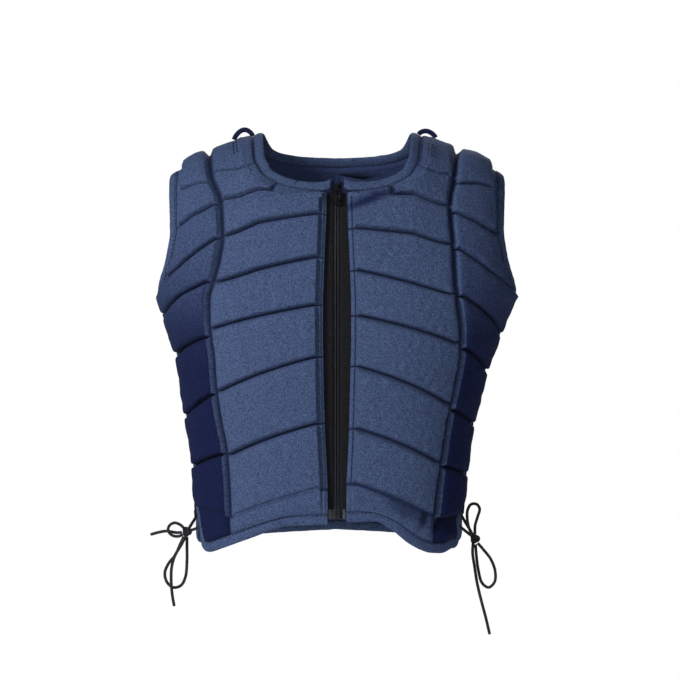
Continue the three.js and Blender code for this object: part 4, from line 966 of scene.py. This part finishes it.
def binding(name, edge):
    width = BINDING_GAP + BINDING_WIDTH
    total = edge.length()
    lengths = [0, END_RING, *edge.along[1:-1], total - END_RING, total]
    rings, seed = [], sum(map(ord, name)) % 50
    end, moved, widened = FLARES.get(name, (0, 0, 0))
    for length in lengths:
        section = []
        near = math.exp(-((length - end * total) / FLARE_LENGTH) ** 2)
        for away, up in FOLD:
            place = Vector((length * RIPPLE_ALONG, away * RIPPLE_ACROSS, up + seed))
            ripple = noise.noise(place) + 0.5 * noise.noise(place * 2.7)
            lifted = up * BINDING_THICKNESS / 2 * (1 + THICKNESS_RIPPLE * ripple)
            flare = near * (moved + widened * max(away, 0))
            point = edge.at(length, away * width + WIDTH_RIPPLE * ripple + flare, lifted)
            if name in FLARES:
                point[0] -= math.copysign(FLARE_LEAN * near * max(away, 0), point[0])
            section.append(point)
        rings.append(section)
    grid = np.array(rings)
    uv = lengths_across(grid)
    faces = tube_faces(*grid.shape[:2])
    piece = make_piece(name + "_cloth", grid.reshape(-1, 3), faces, uv.reshape(-1, 2)[:, ::-1])
    weld(piece)
    subdivide(piece)
    fit(piece, name)
    return piece, stitches(name, edge)


# Stitches: place past the edge, height as a share of the binding's, pitch, length and thread
STITCH_AWAY = 0.7
STITCH_HEIGHT = 0.86
STITCH_PITCH = 4.2
STITCH_LENGTH = 3.3
THREAD_DIAMETER = 0.8
THREAD_SIDES = 6
THREAD_END = 0.45

# Sewn joins across the bindings, at this x, and where their stitches start
JOINS = {"neck_binding_right": -43}
JOIN_STITCHES = (1.6, 4.0, 6.4)


def dash(points, faces, ends):
    """Adds one visible stitch of thread through four points"""
    along = unit(ends[3] - ends[0])
    up_way = unit(ends[1] + ends[2] - ends[0] - ends[3])
    across = np.cross(along, up_way)
    start = len(points)
    for k, end in enumerate(ends):
        size = THREAD_DIAMETER / 2 * (THREAD_END if k in (0, 3) else 1)
        for turn in range(THREAD_SIDES):
            angle = math.tau * turn / THREAD_SIDES
            points.append(end + size * (across * math.cos(angle) + up_way * math.sin(angle)))
    faces += tube_faces(4, THREAD_SIDES, start)


def stitches(name, edge):
    """Dashes of sewing thread along both faces of a binding"""
    points, faces = [], []
    for face in (1, -1):
        at = STITCH_PITCH / 2
        while at < edge.length() - STITCH_PITCH / 2:
            height = face * STITCH_HEIGHT * BINDING_THICKNESS / 2
            low, high = height - face * 0.25, height + face * 0.12
            half, quarter = STITCH_LENGTH / 2, STITCH_LENGTH / 4
            ends = edge.at([at - half, at - quarter, at + quarter, at + half],
                           [STITCH_AWAY] * 4, [low, high, high, low])
            dash(points, faces, ends)
            at += STITCH_PITCH
    if name in JOINS:
        across_at = edge.along[int(np.argmin(np.abs(edge.centre[:, 0] - JOINS[name])))]
        top = BINDING_THICKNESS / 2 + 0.05
        for away in JOIN_STITCHES:
            ends = edge.at([across_at] * 4, [away, away + 0.4, away + 1.6, away + 2],
                           [top - 0.3, top, top, top - 0.3])
            dash(points, faces, ends)
    piece = make_piece(f"{name}_stitches", points, faces)
    fit(piece)
    return piece


def smooth_route(points, step):
    """Even points, step apart, on a smooth curve through the given points"""
    points = [np.array(p, float) for p in points]
    points = [2 * points[0] - points[1], *points, 2 * points[-1] - points[-2]]
    dense = []
    for a, b, c, d in zip(points, points[1:], points[2:], points[3:]):
        ta, tb, tc = (max(np.linalg.norm(q - p), 1e-4) ** 0.5 for p, q in ((a, b), (b, c), (c, d)))
        m1 = ((b - a) / ta - (c - a) / (ta + tb) + (c - b) / tb) * tb
        m2 = ((c - b) / tb - (d - b) / (tb + tc) + (d - c) / tc) * tb
        for t in np.linspace(0, 1, 24, endpoint=False):
            dense.append(b * (2 * t ** 3 - 3 * t * t + 1) + m1 * (t ** 3 - 2 * t * t + t)
                         + c * (3 * t * t - 2 * t ** 3) + m2 * (t ** 3 - t * t))
    dense.append(points[-2])
    dense = np.array(dense)
    along = np.concatenate([[0], np.cumsum(np.linalg.norm(np.diff(dense, axis=0), axis=1))])
    return resample(dense, along, step)


def trimmed(points, knot, far):
    """Cuts both ends of a route where they come as near to the knot as far"""
    away = np.linalg.norm(points - np.array(knot), axis=1) > far
    first = int(np.argmax(away))
    last = len(points) - int(np.argmax(away[::-1]))
    return points[first:last]


def tube(name, points, radius, sides=12, tip=False):
    points = np.asarray(points)
    tangent = unit(np.gradient(points, axis=0))
    across = np.array([tangent[0][2], tangent[0][0], tangent[0][1]])
    rings, uvs = [], []
    along = 0
    for i, point in enumerate(points):
        across = across - tangent[i] * across.dot(tangent[i])
        across /= np.linalg.norm(across)
        up = np.cross(tangent[i], across)
        if i:
            along += np.linalg.norm(point - points[i - 1])
        size = radius * (0.8 if tip and i == len(points) - 1 else 1)
        for k in range(sides):
            angle = math.tau * k / sides
            rings.append(point + size * (across * math.cos(angle) + up * math.sin(angle)))
            uvs.append((along * MM, abs(k / sides - 0.5) * 2))
    piece = make_piece(name, rings, tube_faces(len(points), sides), uvs)
    weld(piece)
    return piece


CORDS = []
CORD_STEP = 1.0
LACE_STEP = 1.6
LACE_SIDES = 10


def free_cord(side, part, far_end):
    node = f"bow_{part}_{side}"
    knot = BOWS[side]["knot"]
    route = trimmed(smooth_route(BOWS[side][part], CORD_STEP), knot, KNOT_RADIUS + 0.2)
    piece = tube(f"cord_{part}_{side}", route, LACE_DIAMETER / 2, tip=far_end == "bare")
    fit(piece, node)
    CORDS.append(piece)


# The cord's middle in a knot: distance from the knot's own, how far it swings, and its swelling
KNOT_OUT = 2.35
KNOT_SWING = 1.3
KNOT_SWELLING = 0.54
KNOT_STEPS = 72


def knot(side):
    """The overhand knot of a bow, drawn tight"""
    points = []
    for i in range(KNOT_STEPS + 1):
        t = math.tau * i / KNOT_STEPS
        out = KNOT_OUT + KNOT_SWING * math.cos(3 * t)
        points.append((out * math.cos(2 * t), KNOT_SWING * math.sin(3 * t), out * math.sin(2 * t)))
    route = np.array(points) + np.array(BOWS[side]["knot"])
    piece = tube(f"knot_{side}", route, LACE_DIAMETER * KNOT_SWELLING)
    fit(piece, f"bow_knot_{side}")
    CORDS.append(piece)


for side_name in ("right", "left"):
    knot(side_name)
    free_cord(side_name, "small_loop", "object")
    free_cord(side_name, "large_loop", "object")
    free_cord(side_name, "long_end", "bare")
free_cord("right", "short_end", "bare")

LACE_EDGES = {}
for face in ("front", "back"):
    for side in (RIGHT, LEFT):
        places = EDGES[face, side]["side"]
        LACE_EDGES[face, side] = Edge(places, side if face == "front" else -side)
STRIP_GAP = 0.45
LOOP_AWAY = BINDING_GAP + BINDING_WIDTH + CLEARANCE + LOOP_BORE / 2 + LOOP_WALL
BINDING_BACK = (GROOVE_DEPTH + PAD_THICKNESS + BINDING_THICKNESS) / 2
LOOP_UP = CLOTH_MIDDLE - (BINDING_BACK - LOOP_RISE)
STRIP_UP = CLOTH_MIDDLE - (BINDING_BACK + STRIP_GAP)


def loop_heights(edge):
    return np.linspace(LOOPS_FROM, edge.length() - LOOPS_TO, LOOPS_PER_EDGE)


def lace(side):
    """The cord that crosses from edge to edge, up through the loops and down again"""
    edges = {face: LACE_EDGES[face, side] for face in ("front", "back")}
    heights = {face: loop_heights(edges[face]) for face in edges}
    reach = LOOP_LENGTH / 2 + LACE_DIAMETER * 0.8
    start = np.array(BOWS[NAMES[side]]["knot"], float)

    def through(face, k, up):
        ends = []
        for d in (-reach, reach):
            ends.append(edges[face].at(heights[face][k] + (d if up else -d), LOOP_AWAY, LOOP_UP))
        return ends

    def lead(face):
        out = LACE_LEAD["out"]
        return edges[face].at(heights[face][0] - reach - LACE_LEAD["down"], LOOP_AWAY + out,
                              LOOP_UP - out)

    def face_at(k, up):
        return "front" if (k % 2 == 0) == up else "back"

    points = [start, lead("front")]
    last = LOOPS_PER_EDGE - 1
    for up in (True, False):
        order = range(last + 1) if up else range(last, -1, -1)
        for k in order:
            first, second = through(face_at(k, up), k, up)
            if (up and k > 0) or (not up and k < last):
                middle = (points[-1] + first) / 2
                middle = middle + np.array([side, 0, 0]) * (2 if k % 2 == 0 else -2)
                points.append(middle)
            points += [first, second]
    points += [lead("back"), start]
    route = trimmed(smooth_route(points, LACE_STEP), start, KNOT_RADIUS)
    piece = tube(f"lacing_{NAMES[side]}", route, LACE_DIAMETER / 2, LACE_SIDES)
    fit(piece, f"lace_{NAMES[side]}")
    CORDS.append(piece)


WEBBING = []

# Rows of stitches that hold the shoulder loops: from (x, z) to (x, z), with the share along a
# stitch and the depth of its four points
LOOP_ROWS = {RIGHT: [(103.5, 6, 101.5, -7), (100.3, 7, 98.3, -5)],
             LEFT: [(91, 5, 89.3, -8), (94.2, 4, 92.5, -9)]}
LOOP_STITCH = [(0.0, 0.3), (0.2, -1.7), (0.7, -1.7), (0.9, 0.3)]
STITCHES_PER_ROW = 4


def loop_stitches(side):
    points, faces = [], []
    for x0, z0, x1, z1 in LOOP_ROWS[side]:
        for k in range(STITCHES_PER_ROW):
            ends = []
            for share, sunk in LOOP_STITCH:
                t = (k + share) / STITCHES_PER_ROW
                x, z = x0 + (x1 - x0) * t, z0 + (z1 - z0) * t
                ends.append(front_point(side, x, z, sunk))
            dash(points, faces, np.array(ends))
    piece = make_piece(f"loop_stitches_{NAMES[side]}", points, faces)
    fit(piece)
    return piece


RING_SIDES = 24
RING_BEVEL = (0.35, 0, 0, 0.35)


def webbing_loops(side, face):
    """A strip of webbing along an edge, with the loops that stand up from it"""
    edge = LACE_EDGES[face, side]
    heights = loop_heights(edge)
    points, faces, uvs = [], [], []

    def add(grid, new_faces):
        points.extend(grid.reshape(-1, 3))
        uvs.extend(lengths_across(grid).reshape(-1, 2))
        faces.extend(new_faces)

    reach = LOOP_AWAY - LOOP_BORE / 2 - LOOP_WALL
    lengths = np.arange(heights[0] - LOOP_LENGTH / 2, heights[-1] + LOOP_LENGTH / 2 + 1, 4)
    back = STRIP_UP - LOOP_WALL
    strip = [(-4, STRIP_UP), (reach, STRIP_UP), (reach + 0.3, STRIP_UP - LOOP_WALL / 2),
             (reach, back), (-4, back)]
    grid = np.array([[edge.at(length, away, up) for away, up in strip] for length in lengths])
    add(grid, tube_faces(*grid.shape[:2]))
    for height in heights:
        outer, inner = [], []
        for i in range(RING_SIDES):
            angle = math.tau * i / RING_SIDES
            c, s = math.cos(angle), math.sin(angle)
            fat = (abs(c) ** 3 + abs(s) ** 3) ** (-1 / 3)
            for ring, size in ((outer, LOOP_BORE / 2 + LOOP_WALL * 0.9), (inner, LOOP_BORE / 2)):
                ring.append((LOOP_AWAY + size * fat * c, LOOP_UP + size * fat * s))
        start = len(points)
        rows = []
        ring_lengths = height + np.array([-0.5, -0.42, 0.42, 0.5]) * LOOP_LENGTH
        for order, face_ring, other in ((ring_lengths, outer, inner),
                                        (ring_lengths[::-1], inner, outer)):
            for length, shrink in zip(order, RING_BEVEL):
                for (away, up), (away_to, up_to) in zip(face_ring, other):
                    rows.append(edge.at(length, away + (away_to - away) * shrink,
                                        up + (up_to - up) * shrink))
        count = 2 * len(RING_BEVEL)
        ring_faces = grid_faces(count, RING_SIDES, start=start, closed=True)
        last = start + (count - 1) * RING_SIDES
        for j in range(RING_SIDES):
            k = (j + 1) % RING_SIDES
            ring_faces.append((last + j, start + j, start + k, last + k))
        add(np.array(rows).reshape(count, RING_SIDES, 3), ring_faces)
    piece = make_piece(f"loops_{face}_{NAMES[side]}", points, faces, uvs)
    weld(piece)
    fit(piece, f"lace_loops_{face}_{NAMES[side]}")
    WEBBING.append(piece)


for side in (RIGHT, LEFT):
    lace(side)
    webbing_loops(side, "front")
    webbing_loops(side, "back")

PANELS = [
    panel("panel_front_right", [("front", RIGHT)], "front_panel_right"),
    panel("panel_front_left", [("front", LEFT)], "front_panel_left"),
    panel("panel_back", [("back", RIGHT), ("back", LEFT)], "back_panel"),
]
LININGS = [
    lining("lining_front_right", [("front", RIGHT)]),
    lining("lining_front_left", [("front", LEFT)]),
    lining("lining_back", [("back", RIGHT), ("back", LEFT)]),
]
BINDINGS = []
THREADS = [loop_stitches(side) for side in (RIGHT, LEFT)]
for name, edge in binding_edges().items():
    cloth_piece, thread_piece = binding(name, edge)
    BINDINGS.append(cloth_piece)
    THREADS.append(thread_piece)

# Zip
TAPE_FRONT = PAD_THICKNESS + TAPE_GAP
TAPE_EDGE = 3.0
TAPE_COLUMNS = 8
TAPE_STEP = 3.0
COIL_PITCH = 1.5
COIL_END = 9.8
CORE_FROM_MIDDLE = 1.6
CORE_HALF = (0.9, 0.7)
CORE_STEP = 4.0

# One tooth of the coil: (x, depth) round its arch, and (rise, share of the depth) round its wire
COIL_ARCH = [(0.15, 0.1), (0.25, -0.75), (0.9, -1.15), (1.8, -1.1), (2.5, -0.6), (2.65, 0.3),
             (2.3, 1.0), (1.2, 1.2), (0.4, 0.9)]
COIL_WIRE = [(0.52, 0), (0.0, 0.22), (-0.52, 0), (0.0, -0.22)]
TAPES, COILS = [], []


def zip_tape(side):
    loops = []
    for z in np.arange(ZIP_TOP, ZIP_BOTTOM - 1, -TAPE_STEP):
        if z > -NECK_FRONT_CORNER * BODY_DROP:
            far = TAPE_NECK_HALF_WIDTH
        elif z < TAPE_NARROWS_AT:
            far = TAPE_END_HALF_WIDTH
        else:
            far = ZIP_HALF_OPENING + TAPE_UNDERLAP
        xs = np.linspace(TAPE_EDGE, far, TAPE_COLUMNS)
        front = [front_point(side, x, z, TAPE_FRONT) for x in xs]
        back = [front_point(side, x, z, TAPE_FRONT + TAPE_THICKNESS) for x in xs[::-1]]
        loops.append(front + back)
    grid = np.array(loops)
    piece = make_piece(f"tape_{NAMES[side]}", grid.reshape(-1, 3), tube_faces(*grid.shape[:2]),
                       lengths_across(grid).reshape(-1, 2))
    weld(piece)
    fit(piece, f"zip_tape_{NAMES[side]}")
    TAPES.append(piece)


def zip_coil(side):
    """One arched wire loop for each tooth of half the coil, and the cord they are sewn round"""
    points, faces = [], []
    top = SLIDER_CENTRE - SLIDER_LENGTH / 2 - CLEARANCE
    bottom = ZIP_BOTTOM + COIL_END
    middle = TAPE_FRONT + TAPE_THICKNESS / 2
    z = top - COIL_PITCH * (0.5 if side < 0 else 1.0)
    while z > bottom:
        faces += tube_faces(len(COIL_ARCH), len(COIL_WIRE), len(points))
        for x, deep in COIL_ARCH:
            for rise, fat in COIL_WIRE:
                points.append(front_point(side, x, z + rise, middle + deep * (1 - fat)))
        z -= COIL_PITCH
    levels = np.arange(top, bottom, -CORE_STEP)
    faces += grid_faces(len(levels), 4, start=len(points), closed=True)
    wide, deep = CORE_HALF
    for z in levels:
        centre = front_point(side, CORE_FROM_MIDDLE, z, middle)
        for dx, dy in ((-wide, -deep), (wide, -deep), (wide, deep), (-wide, deep)):
            points.append(centre + np.array([side * dx, dy, 0]))
    piece = make_piece(f"coil_{NAMES[side]}", points, faces)
    weld(piece)
    fit(piece, f"zip_coil_{NAMES[side]}")
    COILS.append(piece)


for side in (RIGHT, LEFT):
    zip_tape(side)
    zip_coil(side)


# Shoulder loops: outer and inner foot as shares of the half width, and rise
LOOP_ARCH = {RIGHT: (0.548, 0.468, 8), LEFT: (0.525, 0.455, 5)}
LOOP_STATIONS = 25
TABS = []
LOOP_FOOT_RISE = 1.1

# Their section: (y, height above the middle of the webbing)
LOOP_SECTION = [(0.4, -1.6), (1.2, -2.3), (4.4, -2.3), (5.2, -1.6), (5.2, 1.8), (4.4, 2.5),
                (1.2, 2.5), (0.4, 1.8)]


def shoulder_loop(side):
    """A small arch of webbing on the shoulder seam"""
    def seat(x, sunk):
        return under(side, turn_at(side, x, CHEST_LEVEL), RIDGE, sunk - LOOP_FOOT_RISE)

    outer_foot, inner_foot, rise = LOOP_ARCH[side]
    start = seat(CHEST_HALF_WIDTH * outer_foot, 0)
    stop = seat(CHEST_HALF_WIDTH * inner_foot, GROOVE_DEPTH)
    centres = []
    for t in np.linspace(0, 1, LOOP_STATIONS):
        centre = start + (stop - start) * t
        centre[2] += rise * math.sin(math.pi * t) ** 0.7
        centres.append(centre)
    centres = np.array(centres)
    rings = []
    for centre, along in zip(centres, unit(np.gradient(centres, axis=0))):
        out = np.cross(along, np.array([0, 1, 0]))
        out /= np.linalg.norm(out)
        for y, up in LOOP_SECTION:
            point = centre + out * up
            point[1] = y
            rings.append(point)
    grid = np.array(rings).reshape(LOOP_STATIONS, -1, 3)
    piece = make_piece(f"tab_{NAMES[side]}", rings, tube_faces(*grid.shape[:2]),
                       lengths_across(grid).reshape(-1, 2))
    weld(piece)
    fit(piece, f"shoulder_loop_{NAMES[side]}")
    TABS.append(piece)


for side in (RIGHT, LEFT):
    shoulder_loop(side)


# Materials
def colour(r, g, b):
    """Linear colour from an 8-bit screen colour"""
    def linear(value):
        value /= 255
        return value / 12.92 if value <= 0.04045 else ((value + 0.055) / 1.055) ** 2.4

    return (linear(r), linear(g), linear(b), 1)


class Finish:
    """Builds the nodes of one material"""

    def __init__(self, name, roughness, metallic=0.0, sheen=0.0, specular=0.5):
        self.material = bpy.data.materials.new(name)
        self.material.use_nodes = True
        self.tree = self.material.node_tree
        self.shader = self.tree.nodes["Principled BSDF"]
        self.shader.inputs["Roughness"].default_value = roughness
        self.shader.inputs["Metallic"].default_value = metallic
        self.shader.inputs["Specular IOR Level"].default_value = specular
        self.shader.inputs["Sheen Weight"].default_value = sheen
        self.shader.inputs["Sheen Roughness"].default_value = 0.5
        self.shader.inputs["Sheen Tint"].default_value = (0.35, 0.45, 0.8, 1)

    def node(self, kind, **values):
        made = self.tree.nodes.new(kind)
        for key, value in values.items():
            if hasattr(made, key):
                setattr(made, key, value)
            else:
                made.inputs[key.replace("_", " ")].default_value = value
        return made

    def link(self, a, b):
        self.tree.links.new(a, b)

    def feed(self, made, values):
        """Links outputs to a node's inputs and sets the others, by the number of the input"""
        for number, value in values.items():
            if hasattr(value, "is_output"):
                self.link(value, made.inputs[number])
            else:
                made.inputs[number].default_value = value

    def attribute(self, name):
        return self.node("ShaderNodeAttribute", attribute_name=name).outputs["Fac"]

    def coordinates(self, output="Object"):
        return self.node("ShaderNodeTexCoord").outputs[output]

    def noise(self, where, scale, detail=2.0, roughness=0.5):
        made = self.node("ShaderNodeTexNoise", Scale=scale, Detail=detail, Roughness=roughness)
        self.link(where, made.inputs["Vector"])
        return made.outputs["Fac"]

    def ramp(self, value, stops):
        made = self.node("ShaderNodeValToRGB")
        ramp = made.color_ramp
        while len(ramp.elements) < len(stops):
            ramp.elements.new(0.5)
        for element, (at, tone) in zip(ramp.elements, stops):
            element.position = at
            element.color = tone
        self.link(value, made.inputs["Fac"])
        return made.outputs["Color"]

    def mix(self, factor, a, b, blend="MIX"):
        made = self.node("ShaderNodeMix", data_type="RGBA", blend_type=blend)
        self.feed(made, {0: factor, 6: a, 7: b})
        return made.outputs[2]

    def maths(self, operation, a, b):
        made = self.node("ShaderNodeMath", operation=operation)
        self.feed(made, {0: a, 1: b})
        return made.outputs[0]

    def wave(self, where, scale, direction, distortion=0.0):
        made = self.node("ShaderNodeTexWave", Scale=scale, Distortion=distortion,
                         bands_direction=direction)
        self.link(where, made.inputs["Vector"])
        return made.outputs["Fac"]

    def bump(self, height, distance, strength=1.0, below=None):
        made = self.node("ShaderNodeBump", Strength=strength, Distance=distance)
        self.link(height, made.inputs["Height"])
        if below is not None:
            self.link(below, made.inputs["Normal"])
        return made.outputs["Normal"]

    def finish(self, tone, normal):
        self.link(tone, self.shader.inputs["Base Color"])
        self.link(normal, self.shader.inputs["Normal"])
        return self.material


# Scales of the noise in the cloth, and how much of the tone each gives
SPECKLE = (1300, 0.55)
SLUB = (640, 0.45)
CLOUDS = (18, 0.2)
WEAVE = 0.22
WAVE_FACTOR = 6.4

# Colours of painted shade that multiply the cloth's: in the grooves and along the edges, and on
# the side pads and in the hollow folds
GROOVE_SHADE = [(0.0, (0.22, 0.24, 0.34, 1)), (0.25, (0.52, 0.54, 0.6, 1)), (0.6, (1, 1, 1, 1))]
PAINTED_SHADE_TONE = [(0.0, (0.04, 0.06, 0.24, 1)), (1.0, (1, 1, 1, 1))]


def woven(name, dark, light, thread=0.0007, painted_shade=False):
    """Plain woven cloth of mixed threads"""
    f = Finish(name, 0.9, sheen=0.04, specular=0.15)
    place = f.coordinates()
    uv = f.coordinates("UV")
    fineness = 1 / thread / WAVE_FACTOR
    warp = f.wave(uv, fineness, "X", 0.6)
    weft = f.wave(uv, fineness, "Y", 0.6)
    weave = f.maths("MULTIPLY", warp, weft)
    speckle = f.noise(place, SPECKLE[0], 3, 0.7)
    slub = f.noise(place, SLUB[0], 2, 0.6)
    cloudy = f.noise(place, CLOUDS[0], 3, 0.5)
    mixed = f.maths("ADD", f.maths("MULTIPLY", speckle, SPECKLE[1]),
                    f.maths("MULTIPLY", slub, SLUB[1]))
    tone = f.ramp(mixed, [(0.4, dark), (0.6, light)])
    tone = f.mix(f.maths("MULTIPLY", weave, WEAVE), tone, light)
    tone = f.mix(f.maths("MULTIPLY", cloudy, CLOUDS[1]), tone, dark)
    # Painted shade of the panels, from their 'lit' and 'tone' attributes
    if painted_shade:
        for attribute, stops in (("lit", GROOVE_SHADE), ("tone", PAINTED_SHADE_TONE)):
            tone = f.mix(1.0, tone, f.ramp(f.attribute(attribute), stops), "MULTIPLY")
    normal = f.bump(weave, 0.00012, 0.7)
    normal = f.bump(f.noise(place, 260, 3, 0.6), 0.00035, 0.35, normal)
    return f.finish(tone, normal)


def braided(name, dark, light):
    """Round braided cord: two sets of strands that cross"""
    f = Finish(name, 0.75, sheen=0.15, specular=0.3)
    ways = []
    for stretch in (60, -60):
        uv = f.node("ShaderNodeMapping")
        f.link(f.coordinates("UV"), uv.inputs["Vector"])
        uv.inputs["Scale"].default_value = (stretch, 0.5, 1)
        ways.append(f.wave(uv.outputs[0], 1.6, "DIAGONAL"))
    strands = f.maths("MAXIMUM", *ways)
    tone = f.ramp(strands, [(0.25, dark), (0.9, light)])
    normal = f.bump(strands, 0.00025, 0.8)
    normal = f.bump(f.noise(f.coordinates(), 1800, 2), 0.0001, 0.4, normal)
    return f.finish(tone, normal)


def enamelled(name, dark, light):
    f = Finish(name, 0.33, metallic=0.75)
    place = f.coordinates()
    worn = f.noise(place, 240, 3, 0.6)
    tone = f.ramp(worn, [(0.35, dark), (0.75, light)])
    return f.finish(tone, f.bump(f.noise(place, 900, 2), 0.00005, 0.4))


def plastic(name, dark, light, roughness):
    f = Finish(name, roughness)
    place = f.coordinates()
    tone = f.ramp(f.noise(place, 300, 2), [(0.3, dark), (0.7, light)])
    return f.finish(tone, f.bump(f.noise(place, 1200, 2), 0.00005, 0.4))


panel_cloth = woven("panel_cloth", colour(40, 52, 84), colour(84, 102, 139), painted_shade=True)
binding_cloth = woven("binding_cloth", colour(39, 51, 83), colour(82, 100, 137))
lining_cloth = woven("lining_cloth", colour(38, 48, 82), colour(60, 74, 114))
tab_cloth = woven("tab_cloth", colour(16, 20, 52), colour(32, 40, 78), 0.0009)
tape_cloth = woven("tape_cloth", colour(12, 12, 14), colour(34, 34, 38), 0.0006)
webbing_cloth = woven("webbing_cloth", colour(12, 12, 14), colour(36, 36, 40), 0.0009)
# Thread in a darker navy than its own, with the painted shade of the stitch line in it
thread_and_shade_cloth = plastic("thread", colour(12, 15, 38), colour(28, 35, 70), 0.7)
cord_braid = braided("cord_braid", colour(8, 8, 10), colour(38, 38, 42))
zip_enamel = enamelled("zip_enamel", colour(16, 16, 18), colour(60, 60, 64))
coil_plastic = plastic("coil_plastic", colour(14, 14, 16), colour(38, 38, 42), 0.4)
end_film = plastic("end_film", colour(30, 32, 36), colour(66, 70, 76), 0.3)


def dress(pieces, material):
    for piece in pieces:
        piece.data.materials.clear()
        piece.data.materials.append(material)


for pieces, material in ((PANELS, panel_cloth), (LININGS, lining_cloth), (BINDINGS, binding_cloth),
                         (THREADS, thread_and_shade_cloth), (TAPES, tape_cloth), (COILS, coil_plastic),
                         (WEBBING, webbing_cloth), (TABS, tab_cloth), (CORDS, cord_braid)):
    dress(pieces, material)

BEVEL_WIDTH = 0.0003
for name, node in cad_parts.items():
    if node.hide_render:
        continue
    dress([node], end_film if "film" in name else zip_enamel)
    if "film" not in name:
        rounded = node.modifiers.new("rounded", "BEVEL")
        rounded.width = BEVEL_WIDTH
        rounded.segments = 2
        rounded.limit_method = "ANGLE"

# Stage
FLOOR_SIZE = 5
FLOOR_LEVEL = -0.75
bpy.ops.mesh.primitive_plane_add(size=FLOOR_SIZE, location=(0, 0, FLOOR_LEVEL))
floor = bpy.context.active_object
floor.name = "floor"
floor.data.materials.append(
    plastic("pale_floor", colour(242, 242, 242), colour(250, 250, 250), 0.8))

# Square lights: name, place, aim, size in metres and power in watts
LIGHTS = [
    ("key", (-1.75, -1.8, 0.9), (0, -0.1, -0.25), 0.7, 53),
    ("fill", (0.1, -3.2, 0.5), (0, 0, -0.25), 1.2, 20),
    ("rear", (0.5, 2.4, 1.1), (0, 0, -0.2), 1.2, 36),
]
for name, place, aim, size, energy in LIGHTS:
    data = bpy.data.lights.new(name, "AREA")
    data.shape = "SQUARE"
    data.size = size
    data.energy = energy
    lamp = bpy.data.objects.new(name, data)
    scene.collection.objects.link(lamp)
    lamp.location = place
    lamp.rotation_euler = (Vector(aim) - Vector(place)).to_track_quat("-Z", "Y").to_euler()

# The world lights the scene faintly, and the camera sees it white
WORLD_LIGHT = 0.09
world = bpy.data.worlds.new("studio")
scene.world = world
world.use_nodes = True
nodes, links = world.node_tree.nodes, world.node_tree.links
soft = nodes["Background"]
soft.inputs["Color"].default_value = (0.9, 0.94, 1.0, 1)
soft.inputs["Strength"].default_value = WORLD_LIGHT
white = nodes.new("ShaderNodeBackground")
white.inputs["Strength"].default_value = 1.0
white.inputs["Color"].default_value = (1, 1, 1, 1)
seen = nodes.new("ShaderNodeLightPath")
both = nodes.new("ShaderNodeMixShader")
links.new(seen.outputs["Is Camera Ray"], both.inputs[0])
links.new(soft.outputs[0], both.inputs[1])
links.new(white.outputs[0], both.inputs[2])
links.new(both.outputs[0], nodes["World Output"].inputs["Surface"])
scene.view_settings.view_transform = "Standard"
